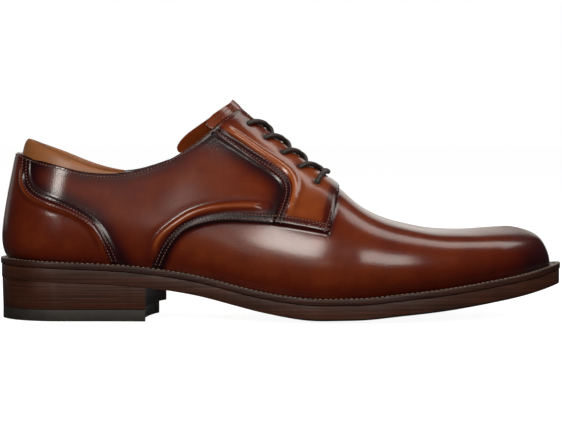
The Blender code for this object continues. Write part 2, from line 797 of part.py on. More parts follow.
def heel_grid(inset, height, cut):
    """Grid over the heel's plan, ending at the breast. Cut takes off its front inner corner."""
    out = np.linspace(-1, 1, SOLE_ROWS + 1)[None, :]
    done = np.linspace(0, 1, HEEL_ROWS + 1)[:, None] ** 1.6
    breast = BREAST_OUTER + BREAST_LEAD * (out + 1) / 2 - BREAST_HOLLOW * (1 - out ** 2)
    breast = breast - cut * np.clip((out - 0.7) / 0.3, 0, 1)
    share = done * (breast - inset) / (SHOE_LENGTH - 2 * inset)
    x, y = plan_point(share, out, inset)
    return np.stack([x, y, height(x, out)], axis=-1)


def make_heel():
    """The stacked heel and the top piece that it stands on."""
    top = heel_grid(STACK_INSET, lambda x, out: underside(x, out) - FIT_GAP, 0.0)
    bottom = heel_grid(TOP_PIECE_INSET, lambda x, out: 0 * x + TOP_PIECE_THICKNESS + FIT_GAP, 0.0)
    stack = between("heel_stack", [(top, bottom)], STACK)
    top = heel_grid(TOP_PIECE_INSET, lambda x, out: 0 * x + TOP_PIECE_THICKNESS, CORNER_CUT)
    bottom = heel_grid(TOP_PIECE_INSET, lambda x, out: 0 * x, CORNER_CUT)
    return stack, between("heel_top_piece", [(top, bottom)], RUBBER)


def lace_rings(first, second, stop):
    """Rings of a lace from one facing towards the other. First and second are (angle, v, side)
    of its two eyelets, and stop is the share of the way across at which it ends."""
    over = QUARTER_STEP + OVERLAY_STEP + LACE_GAP + LACE_RADIUS
    points, normals = [], []
    for done in np.linspace(0, stop, 7):
        angle = first[0] + (second[0] - first[0]) * done
        near = done < 0.5
        v_start, side = (first[1], first[2]) if near else (second[1], second[2])
        v = 1 - (1 - v_start) * abs(1 - 2 * done)
        points.append(skin_point(angle, v, side, over))
        normals.append(last_normal(angle, v, side))
    return rings_along(np.array(points), np.array(normals), LACE_RADIUS, LACE_RADIUS, SIDES)


def make_laces():
    """The laces: a straight bar over the lowest eyelets, and a crossing over each row above."""
    outer = list(zip(*locate(EYELETS, OUTER), [OUTER] * len(EYELETS)))
    inner = list(zip(*locate(EYELETS, INNER), [INNER] * len(EYELETS)))
    tube("lace_bar", lace_rings(outer[-1], inner[-1], 1.0), CORD)
    for k in range(len(EYELETS) - 1):
        cross = tube(f"lace_cross_{k + 1}", lace_rings(outer[k], inner[k + 1], 0.59), CORD)
        under = tube(f"lace_under_{k + 1}", lace_rings(inner[k], outer[k + 1], 0.59), CORD)
        combine(cross, cutter(under), "UNION")


for old in list(bpy.data.objects):
    bpy.data.objects.remove(old)
make_outsole()
make_welt()
make_insole()
make_heel()
make_upper()
make_tongue()
make_collar_pad()
make_laces()
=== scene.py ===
"""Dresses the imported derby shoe: burnished leather upper, lining, laces, seams, sole and heel."""
import math

import bmesh
import bpy
import numpy as np
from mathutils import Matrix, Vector


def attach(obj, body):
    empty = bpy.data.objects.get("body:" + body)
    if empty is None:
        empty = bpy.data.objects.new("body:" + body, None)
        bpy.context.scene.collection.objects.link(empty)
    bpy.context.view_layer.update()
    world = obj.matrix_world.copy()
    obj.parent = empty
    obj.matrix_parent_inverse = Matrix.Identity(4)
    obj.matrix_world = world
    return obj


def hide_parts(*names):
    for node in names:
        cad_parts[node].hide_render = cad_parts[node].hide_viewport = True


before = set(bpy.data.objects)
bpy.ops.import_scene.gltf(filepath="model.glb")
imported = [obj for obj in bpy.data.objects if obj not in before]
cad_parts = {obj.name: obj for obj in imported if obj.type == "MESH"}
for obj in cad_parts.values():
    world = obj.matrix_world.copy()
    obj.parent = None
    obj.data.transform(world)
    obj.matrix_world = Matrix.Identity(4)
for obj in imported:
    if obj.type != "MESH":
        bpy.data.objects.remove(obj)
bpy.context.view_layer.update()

# Sizes of the whole shoe
SHOE_LENGTH = 0.305
SOLE_WIDTH = 0.105
HEEL_HEIGHT = 0.0182
TOE_SPRING = 0.0180
SOLE_ROCKER = 0.0035
LAST_HEIGHT = 0.100

# Sole and heel
WELT_THICKNESS = 0.0035
OUTSOLE_THICKNESS = 0.0069
OUTSOLE_INSET = 0.0005
TOP_PIECE_THICKNESS = 0.0061
STACK_INSET = 0.0008
TOP_PIECE_INSET = 0.0012
WELT_REACH = 0.0057
WELT_LEDGE = 0.0013

# Heel breast, from the back of the shoe
BREAST_OUTER = 0.0805
BREAST_LEAD = 0.0080
BREAST_HOLLOW = 0.0045
CORNER_CUT = 0.0040

# Leather
WALL = 0.0012
QUARTER_STEP = 0.0010
OVERLAY_STEP = 0.0008
TONGUE_THICKNESS = 0.0024
TONGUE_HALF_WIDTH = 0.0212
TONGUE_RISE = 0.0094
TONGUE_SLOPE = 35.0
TONGUE_TUCK = 0.0080
PAD_THICKNESS = 0.0048
PAD_RISE = 0.0075
BEAD_HEIGHT = 0.0012

# Lacing
THROAT_GAP = 0.0085
LACE_RADIUS = 0.0014

# Clearances
FIT_GAP = 0.0003
LINING_GAP = 0.0007
TONGUE_GAP = 0.0011

# Shares of the sole's length that its rounded ends take
HEEL_ROUND_SHARE = 0.112
TOE_ROUND_SHARE = 0.105

# Sides
OUTER, INNER = -1.0, 1.0


class Table:
    """Rows with named columns, read between the rows by a natural cubic spline."""

    def __init__(self, names, rows):
        rows = np.array(rows, float)
        self.names, self.knots, self.values = names[1:], rows[:, 0], rows[:, 1:]
        gaps = np.diff(self.knots)[:, None]
        count = len(self.knots)
        system = np.eye(count)
        for i in range(1, count - 1):
            before, after = gaps[i - 1, 0], gaps[i, 0]
            system[i, i - 1:i + 2] = before, 2 * (before + after), after
        right = np.zeros_like(self.values)
        right[1:-1] = 6 * np.diff(np.diff(self.values, axis=0) / gaps, axis=0)
        self.bends = np.linalg.solve(system, right)

    def row(self, at):
        """Every column's value, by name, at each place along the first column."""
        at = np.clip(np.asarray(at, float), self.knots[0], self.knots[-1])
        cell = np.clip(np.searchsorted(self.knots, at, side="right") - 1, 0, len(self.knots) - 2)
        gap = (self.knots[cell + 1] - self.knots[cell])[..., None]
        done = (at - self.knots[cell])[..., None]
        rest = gap - done
        first, second = self.bends[cell], self.bends[cell + 1]
        found = (first * rest ** 3 + second * done ** 3) / (6 * gap)
        found += (self.values[cell] / gap - first * gap / 6) * rest
        found += (self.values[cell + 1] / gap - second * gap / 6) * done
        return {name: found[..., k] for k, name in enumerate(self.names)}

    def read(self, name, at):
        """The named column's value at each place along the first column."""
        return self.row(at)[name]


# Plan of the sole before its ends are rounded. A station is a share of SHOE_LENGTH from the back.
# Middle and half are shares of SOLE_WIDTH, and a positive middle lies to the inner side.
PLAN = Table(
    ("station", "middle", "half"),
    [
        (0.00, 0.026, 0.326),
        (0.12, 0.028, 0.330),
        (0.25, 0.014, 0.322),
        (0.38, -0.020, 0.338),
        (0.48, -0.030, 0.398),
        (0.58, -0.017, 0.478),
        (0.65, 0.001, 0.496),
        (0.75, 0.015, 0.459),
        (0.85, 0.034, 0.376),
        (0.93, 0.052, 0.300),
        (1.00, 0.062, 0.246),
    ],
)

# Side view of the sole's underside on its middle line, as shares of HEEL_HEIGHT and TOE_SPRING.
# Rocker is the share of SOLE_ROCKER by which the edge is higher than the middle.
UNDERSIDE = Table(
    ("station", "heel", "toe", "rocker"),
    [
        (0.00, 1.225, 0.0, 0.0),
        (0.14, 1.130, 0.0, 0.0),
        (0.26, 1.005, 0.0, 0.0),
        (0.31, 0.890, 0.0, 0.04),
        (0.36, 0.722, 0.0, 0.16),
        (0.41, 0.485, 0.0, 0.33),
        (0.46, 0.255, 0.0, 0.52),
        (0.51, 0.074, 0.0, 0.78),
        (0.55, -0.020, 0.0, 0.95),
        (0.60, 0.0, -0.026, 1.00),
        (0.645, 0.0, -0.008, 1.00),
        (0.70, 0.0, 0.080, 1.00),
        (0.75, 0.0, 0.160, 1.00),
        (0.81, 0.0, 0.282, 0.98),
        (0.88, 0.0, 0.478, 0.88),
        (0.94, 0.0, 0.695, 0.68),
        (1.00, 0.0, 1.000, 0.32),
    ],
)

# Ridge line of the last, along the top of the foot: its height over the welt as a share of
# LAST_HEIGHT, and its place across the shoe as a share of SOLE_WIDTH.
RIDGE = Table(
    ("station", "height", "across"),
    [
        (0.113, 0.967, 0.028),
        (0.205, 1.000, 0.029),
        (0.303, 1.030, 0.033),
        (0.352, 1.033, 0.038),
        (0.411, 0.985, 0.045),
        (0.467, 0.866, 0.051),
        (0.506, 0.782, 0.055),
        (0.542, 0.703, 0.059),
        (0.580, 0.620, 0.062),
        (0.610, 0.548, 0.065),
        (0.641, 0.464, 0.067),
        (0.676, 0.394, 0.068),
        (0.712, 0.346, 0.068),
        (0.748, 0.312, 0.067),
        (0.784, 0.293, 0.066),
        (0.820, 0.280, 0.066),
        (0.855, 0.273, 0.066),
        (0.900, 0.260, 0.066),
    ],
)

# Half sections of the last from the welt line to the ridge: the poles of a cubic B-spline, each a
# share of the way out from the ridge to the welt line and a share of the height between them.
SECTIONS = Table(
    ("station", "low_out", "low_up", "side_out", "side_up", "high_out", "high_up", "top_out"),
    [
        (0.00, 1.144, 0.048, 1.100, 0.238, 0.877, 0.540, 0.582),
        (0.15, 1.110, 0.060, 1.100, 0.250, 0.850, 0.580, 0.570),
        (0.30, 1.085, 0.080, 1.080, 0.300, 0.760, 0.640, 0.480),
        (0.45, 1.080, 0.110, 1.020, 0.380, 0.620, 0.740, 0.320),
        (0.56, 1.090, 0.140, 1.030, 0.470, 0.640, 0.830, 0.330),
        (0.66, 1.110, 0.180, 1.070, 0.560, 0.780, 0.920, 0.420),
        (0.80, 1.090, 0.200, 1.070, 0.620, 0.850, 0.985, 0.480),
        (0.92, 1.050, 0.240, 1.000, 0.620, 0.800, 0.940, 0.380),
        (1.00, 1.000, 0.210, 0.890, 0.540, 0.690, 0.850, 0.220),
    ],
)

# Collar line on each side, from the back seam to the top of the facing: shares of LAST_HEIGHT
# over the welt.
TOPLINE = Table(
    ("station", "outer", "inner"),
    [
        (0.000, 0.592, 0.592),
        (0.039, 0.577, 0.577),
        (0.060, 0.556, 0.560),
        (0.100, 0.527, 0.532),
        (0.150, 0.494, 0.500),
        (0.200, 0.487, 0.490),
        (0.235, 0.504, 0.504),
        (0.270, 0.542, 0.542),
        (0.300, 0.588, 0.588),
        (0.335, 0.666, 0.666),
        (0.370, 0.765, 0.765),
        (0.395, 0.850, 0.850),
        (0.418, 0.925, 0.925),
        (0.460, 1.060, 1.060),
    ],
)

# Side-view lines on the upper: each point is a station and a share of LAST_HEIGHT over the welt
VAMP_SEAM = (
    (0.284, -0.060), (0.298, 0.050), (0.319, 0.168), (0.342, 0.237), (0.370, 0.282),
    (0.411, 0.328), (0.446, 0.350), (0.489, 0.366), (0.523, 0.365), (0.563, 0.352), (0.581, 0.341),
)
TAB_FRONT = (
    (0.581, 0.341), (0.590, 0.428), (0.596, 0.513), (0.600, 0.565), (0.600, 0.600), (0.598, 0.630),
)
FACING_EDGE = (
    (0.371, 0.787), (0.384, 0.763), (0.423, 0.709), (0.463, 0.652), (0.493, 0.600),
    (0.502, 0.566), (0.503, 0.513), (0.495, 0.437), (0.489, 0.380), (0.484, 0.330),
)
COUNTER_EDGE = (
    (0.061, 0.570), (0.061, 0.500), (0.064, 0.423), (0.080, 0.369), (0.117, 0.326),
    (0.157, 0.272), (0.184, 0.212), (0.202, 0.134), (0.218, 0.031), (0.224, -0.050),
)
VAMP_BEAD = (
    (0.278, 0.060), (0.286, 0.153), (0.319, 0.259), (0.353, 0.334), (0.388, 0.383),
    (0.423, 0.418), (0.458, 0.439), (0.474, 0.444),
)
FACING_BEAD = (
    (0.398, 0.815), (0.423, 0.785), (0.453, 0.740), (0.483, 0.697), (0.507, 0.655),
    (0.519, 0.615), (0.523, 0.562), (0.520, 0.506), (0.513, 0.435),
)
COUNTER_BEAD = (
    (0.049, 0.500), (0.048, 0.454), (0.051, 0.389), (0.064, 0.343), (0.090, 0.309),
    (0.130, 0.269), (0.160, 0.225), (0.178, 0.169), (0.190, 0.105), (0.197, 0.055),
)
EYELETS = ((0.440, 0.862), (0.471, 0.804), (0.502, 0.737), (0.532, 0.671), (0.562, 0.594))

# Where the ribs of the last meet the ridge, at the back, at the end of the throat and at the toe
RIDGE_START_SHARE = 0.113
THROAT_END_SHARE = 0.578
RIDGE_END_SHARE = 0.900

# Angle from the back seam over which the two sides' collar lines part
SEAM_ANGLE = 0.4

# Share of each rib over which its normal turns level towards the welt
FOOT_SHARE = 0.07

# Rounding of the corner between the collar line and the facing, as a share of a rib
CORNER_ROUND_SHARE = 0.150

# Profile of the padded collar: how far it lies over or under the upper's rim, as a share of
# PAD_RISE, and how far in from the upper, as a share of PAD_THICKNESS. Its ends are thinner.
PAD_PROFILE = (
    (-2.3, 0.00), (-1.1, 0.00), (0.0, 0.00), (0.55, 0.03), (0.90, 0.22), (1.0, 0.50),
    (0.85, 0.82), (0.30, 1.00), (-0.6, 1.00), (-1.5, 0.66), (-2.3, 0.20),
)
PAD_END_SHARE = 0.197
PAD_TIP_SHARE = 0.03

# How much further each facing's edge stands back at its top
TOP_SPREAD = 0.0028

# Share of its width that the tongue loses towards the vamp
TONGUE_TAPER_SHARE = 0.22


def station(x):
    """Share of the shoe's length from its back."""
    return np.asarray(x, float) / SHOE_LENGTH + 0.5


def at_station(share):
    """x at a share of the shoe's length from its back."""
    return (np.asarray(share, float) - 0.5) * SHOE_LENGTH


def closing(share):
    """1 along the sole, falling to 0 round its heel and round its toe."""
    back = np.clip(1 - share / HEEL_ROUND_SHARE, 0, 1)
    front = np.clip(1 - (1 - share) / TOE_ROUND_SHARE, 0, 1)
    return np.sqrt(1 - back ** 2) * np.sqrt(1 - front ** 2.2)


def underside(x, out=0.0):
    """Height of the outsole's underside, at a share of the way out from its middle line."""
    row = UNDERSIDE.row(station(x))
    middle = HEEL_HEIGHT * row["heel"] + TOE_SPRING * row["toe"]
    rise = SOLE_ROCKER * np.maximum(row["rocker"], 0)
    return np.maximum(middle + rise * np.abs(out) ** 3, 0.0)


def welt_bottom(x):
    """Height of the outsole's top face."""
    return underside(x, 1.0) + OUTSOLE_THICKNESS


def welt_top(x):
    """Height of the welt's top face, on which the upper stands."""
    return welt_bottom(x) + WELT_THICKNESS


def plan_point(share, out, inset):
    """Point (x, y) inside the sole's outline drawn in by inset, out being -1 at the outer edge
    and 1 at the inner one."""
    x = (share - 0.5) * (SHOE_LENGTH - 2 * inset)
    row = PLAN.row(station(x))
    half = row["half"] * SOLE_WIDTH - inset
    return x, row["middle"] * SOLE_WIDTH + out * half * closing(share)


def share_of(angle):
    """Share of the way from back to toe, at angles from 0 to pi round the outline."""
    return (1 - np.cos(angle)) / 2


def angle_at_ridge(at):
    """Angle of the rib that meets the ridge at a station."""
    share = (np.asarray(at, float) - RIDGE_START_SHARE) / (RIDGE_END_SHARE - RIDGE_START_SHARE)
    return np.arccos(np.clip(1 - 2 * share, -1, 1))


def ridge_height(x):
    """Height of the last's ridge."""
    return welt_top(x) + LAST_HEIGHT * RIDGE.read("height", station(x))


def spline_weights(v):
    """Weights of the six poles of a clamped cubic B-spline."""
    knots = [0, 0, 0, 0, 1 / 3, 2 / 3, 1, 1, 1, 1]
    weights = [((v >= knots[i]) & (v < knots[i + 1])).astype(float) for i in range(9)]
    weights[5] = np.where(v >= 1, 1.0, weights[5])
    for degree in range(1, 4):
        raised = []
        for i in range(9 - degree):
            first = knots[i + degree] - knots[i]
            second = knots[i + degree + 1] - knots[i + 1]
            rising = (v - knots[i]) / first * weights[i] if first else 0.0
            falling = (knots[i + degree + 1] - v) / second * weights[i + 1] if second else 0.0
            raised.append(rising + falling)
        weights = raised
    return weights


def last_point(angle, v, side):
    """Point on the last, at an angle round it and at a share v of the way up from the welt to the
    ridge. Each rib stands over one point of the welt line and leans to its own point of the
    ridge. The top pole lies straight across, so that both sides meet on the ridge smoothly."""
    share = share_of(angle)
    x_low, y_low = plan_point(share, side, WELT_REACH)
    x_top = at_station(RIDGE_START_SHARE + share * (RIDGE_END_SHARE - RIDGE_START_SHARE))
    y_top = RIDGE.read("across", station(x_top)) * SOLE_WIDTH
    z_low, z_top = welt_top(x_low) + FIT_GAP, ridge_height(x_top)
    row = SECTIONS.row(share)
    outs = [1.0, row["low_out"], row["side_out"], row["high_out"], row["top_out"], 0.0]
    ups = [0.0, row["low_up"], row["side_up"], row["high_up"], 1.0, 1.0]
    weights = spline_weights(v)
    out = sum(w * o for w, o in zip(weights, outs))
    forward = out - weights[4] * row["top_out"] * (1 - np.abs(2 * share - 1) ** 8)
    up = sum(w * u for w, u in zip(weights, ups))
    x = x_top + (x_low - x_top) * forward
    y = y_top + (y_low - y_top) * out
    return np.stack(np.broadcast_arrays(x, y, z_low + (z_top - z_low) * up), axis=-1)


def unit(vectors):
    """Vectors at length 1."""
    return vectors / np.linalg.norm(vectors, axis=-1, keepdims=True)


def last_normal(angle, v, side):
    """Outward normal of the last. On the ridge, the back seam and the toe seam it lies in the
    plane between the two sides, and on the welt line it is level."""
    angle, v = np.broadcast_arrays(np.asarray(angle, float), np.asarray(v, float))
    step = 1e-4
    low_v = np.clip(v - step, 0, 1 - 2 * step)
    up = last_point(angle, low_v + 2 * step, side) - last_point(angle, low_v, side)
    low_a = np.clip(angle - step, 0, math.pi - 2 * step)
    along = last_point(low_a + 2 * step, v, side) - last_point(low_a, v, side)
    seam = (angle < step) | (angle > math.pi - step)
    flat = (v >= 1)[..., None] | seam[..., None]
    normal = unit(np.where(flat, 1.0, np.cross(up, along) * side))
    x = last_point(angle, v, side)[..., 0]
    slope = (ridge_height(x + step) - ridge_height(x - step)) / (2 * step)
    on_ridge = unit(np.stack([-slope, 0 * slope, 1 + 0 * slope], axis=-1))
    facing = np.where(angle > math.pi / 2, 1.0, -1.0)
    on_seam = unit(np.stack([up[..., 2] * facing, 0 * up[..., 2], -up[..., 0] * facing], axis=-1))
    normal = np.where((v >= 1)[..., None], on_ridge, normal)
    normal = np.where((seam & (v < 1))[..., None], on_seam, normal)
    level = np.clip(v / FOOT_SHARE, 0, 1)
    return unit(normal * np.stack([1 + 0 * level, 1 + 0 * level, level], axis=-1))


def skin_point(angle, v, side, offset, sink=0.0):
    """Point at a distance outside the last. Its lowest points stand on the welt, or lie below its
    top by sink."""
    angle, v = np.broadcast_arrays(np.asarray(angle, float), np.asarray(v, float))
    offset = np.asarray(offset, float)
    point = last_point(angle, v, side) + last_normal(angle, v, side) * offset[..., None]
    point[..., 2] = np.where(v <= 0, welt_top(point[..., 0]) + FIT_GAP - sink, point[..., 2])
    return point


def solve(low, high, is_above):
    """Where is_above turns true between low and high, by halving."""
    for _ in range(26):
        middle = (low + high) / 2
        above = is_above(middle)
        low, high = np.where(above, low, middle), np.where(above, middle, high)
    return (low + high) / 2


def v_at_gap(angle, side, gap):
    """v on each rib at a distance from its own point of the ridge, seen from above."""
    top = last_point(angle, np.ones_like(angle), side)[..., :2]

    def is_above(v):
        """True nearer to the ridge than the gap."""
        return np.linalg.norm(last_point(angle, v, side)[..., :2] - top, axis=-1) < gap

    return solve(np.zeros_like(angle), np.ones_like(angle), is_above)


def v_at_height(angle, side, height_at):
    """v on each rib where it reaches the height that height_at gives for its x."""

    def is_above(v):
        """True over the wanted height."""
        point = last_point(angle, v, side)
        return point[..., 2] > height_at(point[..., 0])

    return solve(np.zeros_like(angle), np.ones_like(angle), is_above)


def topline_height(angle, side):
    """Function of x for the height of the collar line, the same on both sides at the back seam."""
    turned = np.clip(angle / SEAM_ANGLE, 0, 1) * (side == INNER)

    def height_at(x):
        """Height of the collar line over a place."""
        row = TOPLINE.row(station(x))
        share = row["outer"] * (1 - turned) + row["inner"] * turned
        return welt_top(x) + LAST_HEIGHT * share

    return height_at


def rim(angle, side):
    """v of the upper's top edge on each rib: the collar line, then the edge of the facing."""
    top = v_at_height(angle, side, topline_height(angle, side))
    spread = TOP_SPREAD * smooth_step(share_of(angle), 0.47, 0.38)
    gap = v_at_gap(angle, side, THROAT_GAP / 2 + spread)
    blend = np.clip(0.5 + (gap - top) / (2 * CORNER_ROUND_SHARE), 0, 1)
    return gap * (1 - blend) + top * blend - CORNER_ROUND_SHARE * blend * (1 - blend)


def smooth_line(points, count):
    """Points evenly spaced along a smooth curve through a few."""
    points = np.array(points, float)
    steps = np.linalg.norm(np.diff(points, axis=0), axis=1)
    reach = np.concatenate([[0.0], np.cumsum(steps)])
    line = Table(("reach", "station", "height"), np.column_stack([reach, points]))
    even = np.linspace(0, reach[-1], count)
    return np.column_stack([line.read("station", even), line.read("height", even)])


def side_view(points):
    """x and z of points given by station and share of LAST_HEIGHT."""
    points = np.array(points, float)
    x = at_station(points[:, 0])
    return x, welt_top(x) + LAST_HEIGHT * points[:, 1]


def locate(points, side):
    """Angle and v on a side of the last of points given in side view, by Newton's method."""
    x, z = side_view(points)
    angle = np.arccos(np.clip(1 - 2 * station(x), -0.98, 0.98))
    v = np.clip((z - welt_top(x)) / (ridge_height(x) - welt_top(x)), 0.02, 0.95)
    step = 1e-4
    for _ in range(25):
        here = last_point(angle, v, side)
        by_angle = (last_point(angle + step, v, side) - here)[:, ::2] / step
        by_v = (here - last_point(angle, v - step, side))[:, ::2] / step
        miss = np.column_stack([x, z]) - here[:, ::2]
        area = by_angle[:, 0] * by_v[:, 1] - by_angle[:, 1] * by_v[:, 0]
        turn = (miss[:, 0] * by_v[:, 1] - miss[:, 1] * by_v[:, 0]) / area
        climb = (by_angle[:, 0] * miss[:, 1] - by_angle[:, 1] * miss[:, 0]) / area
        angle = np.clip(angle + np.clip(turn, -0.1, 0.1), 0.03, math.pi - 0.03)
        v = np.clip(v + np.clip(climb, -0.05, 0.05), 0.002, 0.99)
    return angle, v


# Ribs of the upper's skin up to DENSE_END, an angle ahead of the seams, and from there to the toe.
# Rows lie across them.
SKIN_RIBS = ((310, 120))
SKIN_ROWS = 120
DENSE_END = 1.95

# Rows over the ridge ahead of the throat, round the rolled edge and up the lining
CROWN_ROWS = 6
ROLL_ROWS = 7
LINING_ROWS = 24

# Grid of the sole, lengthwise and across
SOLE_RIBS = 160
SOLE_ACROSS = 12

# Width of the step at a panel's edge
EDGE_SOFTNESS = 0.0016

# Half width of a bead's foot, how full it is, and the length over which it rises at each end
BEAD_FOOT = 0.0021
BEAD_FULLNESS = 0.8
BEAD_FADE = 0.0075

# Grooves beside a bead and along the rim's stitches, and the dimple round an eyelet: depth,
# distance from the bead's middle line, and width
BEAD_GROOVE, GROOVE_PLACE, GROOVE_WIDTH = 0.00016, 0.0034, 0.0014
RIM_GROOVE, RIM_GROOVE_WIDTH = 0.00025, 0.0008
EYELET_DIMPLE, DIMPLE_REACH = 0.00045, 0.0026

# Distances of the seams from the edges they follow, and how high a thread lies
STITCH_ROWS = (0.0017, 0.0038)
RIM_STITCH = 0.0024
WELT_STITCH = 0.0026
TONGUE_STITCHES = (0.0024, 0.0046)
THREAD_LIFT = 0.00005

# Stitches of the upper and of the welt, for the seams' node tree
FINE_STITCH = {"Pitch": 0.0018, "Length": 0.00135, "Thickness": 0.0005}
COARSE_STITCH = {"Pitch": 0.0027, "Length": 0.0021, "Thickness": 0.0007}

# Rounded corners of the tongue's top, and the swelling of its middle between two stations
TONGUE_CORNER = 0.0050
TONGUE_SWELL = 0.0022
TONGUE_SWELL_WIDTH = 0.0048
TONGUE_SWELL_ENDS = (0.430, 0.395)

# Height of the fine gathers on the padding's inner face
PAD_GATHER = 0.00010

# How far each side's lace slants towards the next row, and its height over the last where the two
# cross, so that one lies over the other
LACE_SLANT = {OUTER: 0.9, INNER: 1.2}
LACE_CROSSING = {OUTER: 0.0008, INNER: -0.0010}

# Shares by which a lace spreads and flattens under a facing
LACE_SPREAD, LACE_FLATTENING = 0.35, 0.70

# Heights over the last of a lace that passes down through an eyelet
LACE_IN_EYELET = (0.0026, 0.0010, -0.0008, -0.0019)

# Distance between the lace's rings, how many sides they have, and the way they face
LACE_STEP, LACE_SIDES, LACE_AHEAD = 0.0007, 14, (0.75, 0.0, -0.66)

# Rounding of each piece's sharp edges
WELT_SOFTNESS, SOLE_SOFTNESS, STACK_SOFTNESS, TONGUE_SOFTNESS = 0.0005, 0.0006, 0.0003, 0.0007

# Distance in millimetres that the leather reads where it has no seam near
NO_SEAM = 30.0

# Burnishing of each panel, with painted shadow on the vamp along the quarter's edge: how dark its middle
# is, then near each line the reach of the dark in metres, or over the welt as a share of LAST_HEIGHT, and
# how much it adds, then the dark bands
BURNISH_AND_PAINTED_SHADOW = {
    # On the vamp, the narrow dark line along the quarter's edge is painted shadow under that edge
    "vamp": (0.33, (("welt", 0.075, 0.20), ("quarter", 0.0022, 0.40)), ()),
    "quarter": (
        0.34,
        (
            ("quarter", 0.0090, 0.18), ("facing", 0.0060, 0.58), ("counter", 0.0060, 0.50),
            ("rim", 0.0062, 0.46), ("welt", 0.060, 0.18),
        ),
        (("quarter", 0.50),),
    ),
    "facing": (
        0.12, (("rim", 0.0040, 0.26), ("quarter", 0.0050, 0.34)), (("facing", 0.66), ("quarter", 0.30)),
    ),
    "counter": (0.40, (("rim", 0.0050, 0.34), ("welt", 0.05, 0.18)), (("counter", 0.46),)),
}

# Distances inside an edge over which its dark band comes and goes
BAND_START, BAND_END = (-0.0004, 0.0004), (0.0058, 0.0040)

# Panels that darken lengthwise: by how much, and the stations between which they do
DARK_ENDS = (("vamp", 0.08, 0.60, 0.88), ("vamp", 0.40, 0.84, 1.0), ("counter", 0.20, 0.06, 0.0))

# The facing's dark top, and the shares of LAST_HEIGHT between which it darkens
FACING_TOP_SHADE, FACING_TOP = 0.34, (0.76, 0.92)

# Burnish of the leather: share of the way from a panel's middle to its darkest edge, and colour
BURNISH = (
    (0.00, "#7e3d17"), (1.00, "#150304"), (0.18, "#662a0c"), (0.40, "#4f1704"),
    (0.62, "#3b0b03"), (0.82, "#240407"),
)

# Sizes of the leather's mottling, cloudiness, pores and fine grain, of the sole's fibres against
# their thickness, and of one turn of the lace's braid
MOTTLE, CLOUD, PORE, FINE_GRAIN = 0.016, 0.0045, 0.0008, 0.0007
FIBRE_STRETCH = (0.018, 0.018, 1.0)
BRAID_STEP = 0.0016

# Reach in millimetres of the ink along a cut edge
INK_REACH = 0.42
WHITE = (1.0, 1.0, 1.0, 1.0)

# Step down a rib over which its direction and length are taken, as a share of the rib
RIB_STEP = 0.02

# Stitches of the upper and of the welt, for the seams' node tree
FINE_STITCH = {"Pitch": 0.0018, "Length": 0.00135, "Thickness": 0.0005}
COARSE_STITCH = {"Pitch": 0.0027, "Length": 0.0021, "Thickness": 0.0007}

# Distance in millimetres that the leather reads where it has no seam near
NO_SEAM = 30.0

# Rounding of each piece's sharp edges
WELT_SOFTNESS, SOLE_SOFTNESS, STACK_SOFTNESS, TONGUE_SOFTNESS = 0.0005, 0.0006, 0.0003, 0.0007
WELT_STITCH = 0.0026

# Camera, worked out from the photo's own perspective: lens in millimetres, distance, height and
# tilt in degrees
CAMERA_LENS, CAMERA_DISTANCE, CAMERA_HEIGHT, CAMERA_TILT = 145.8, 1.236, 0.1118, 2.52

# Soft boxes: name, place, width, height and glow. Each points at LAMP_TARGET.
LIGHTS = (
    ("key_box", (-0.43, -0.76, 0.58), 0.24, 0.40, 20.0),
    ("front_box", (0.32, -0.82, 0.44), 0.44, 0.34, 9.0),
    ("low_strip", (-0.31, -0.88, 0.24), 0.26, 0.10, 1.9),
    ("top_box", (0.60, 0.05, 1.00), 0.50, 0.90, 5.0),
    ("side_box", (-1.00, 0.95, 0.45), 0.40, 0.80, 0.4),
    ("back_wall", (0.0, 1.70, 0.50), 1.90, 1.10, 0.85),
)
LAMP_TARGET = Vector((0.0, 0.0, 0.05))
LAMP_COLOUR = (1.0, 0.95, 0.89)

# Light from all round on rough surfaces, and what a polished one mirrors of it
AMBIENT, REFLECTED = 0.20, 0.03

# Soft troughs and ridges of the upper: station, share of LAST_HEIGHT, half length and half width in
# metres, slope in degrees and depth in metres, a ridge being negative. They lie on both sides.
CREASES = (
    (0.300, 0.380, 0.026, 0.0090, 40, 0.00032),
    (0.150, 0.420, 0.022, 0.0070, -18, 0.00028),
    (0.330, 0.560, 0.020, 0.0070, 55, 0.00024),
    (0.610, 0.230, 0.022, 0.0070, 66, 0.00020),
    (0.645, 0.250, 0.020, 0.0060, 72, -0.00014),
    (0.680, 0.200, 0.018, 0.0070, 76, 0.00016),
)


def srgb(code):
    """Linear colour of an sRGB hex code."""
    parts = [int(code[k:k + 2], 16) / 255 for k in (1, 3, 5)]
    return [p / 12.92 if p <= 0.04045 else ((p + 0.055) / 1.055) ** 2.4 for p in parts] + [1.0]


def output_of(value):
    """A node's first output, or the value itself."""
    return value.outputs[0] if isinstance(value, bpy.types.Node) else value


def add(tree, kind, values=None, stops=(), **settings):
    """Adds a node with its settings and its colour stops, and links or sets its sockets. A node
    among the values stands for its first output."""
    made = tree.nodes.new(kind)
    for name, value in settings.items():
        setattr(made, name, value)
    for k, (place, code) in enumerate(stops):
        element = made.color_ramp.elements[k] if k < 2 else made.color_ramp.elements.new(place)
        element.position = place
        element.color = srgb(code)
    for socket, value in (values or {}).items():
        value = output_of(value)
        if isinstance(value, bpy.types.NodeSocket):
            tree.links.new(value, made.inputs[socket])
        else:
            made.inputs[socket].default_value = value
    return made


def material(name, **sockets):
    """A Principled material, its tree and its object coordinates, with numbers and colours set
    on its sockets."""
    made = bpy.data.materials.new(name)
    made.use_nodes = True
    tree = made.node_tree
    for socket, value in sockets.items():
        tree.nodes["Principled BSDF"].inputs[socket.replace("_", " ")].default_value = value
    return made, tree, add(tree, "ShaderNodeTexCoord").outputs["Object"]


def surface(tree, **sockets):
    """Links values to the shader's sockets."""
    for socket, value in sockets.items():
        shader = tree.nodes["Principled BSDF"]
        tree.links.new(output_of(value), shader.inputs[socket.replace("_", " ")])


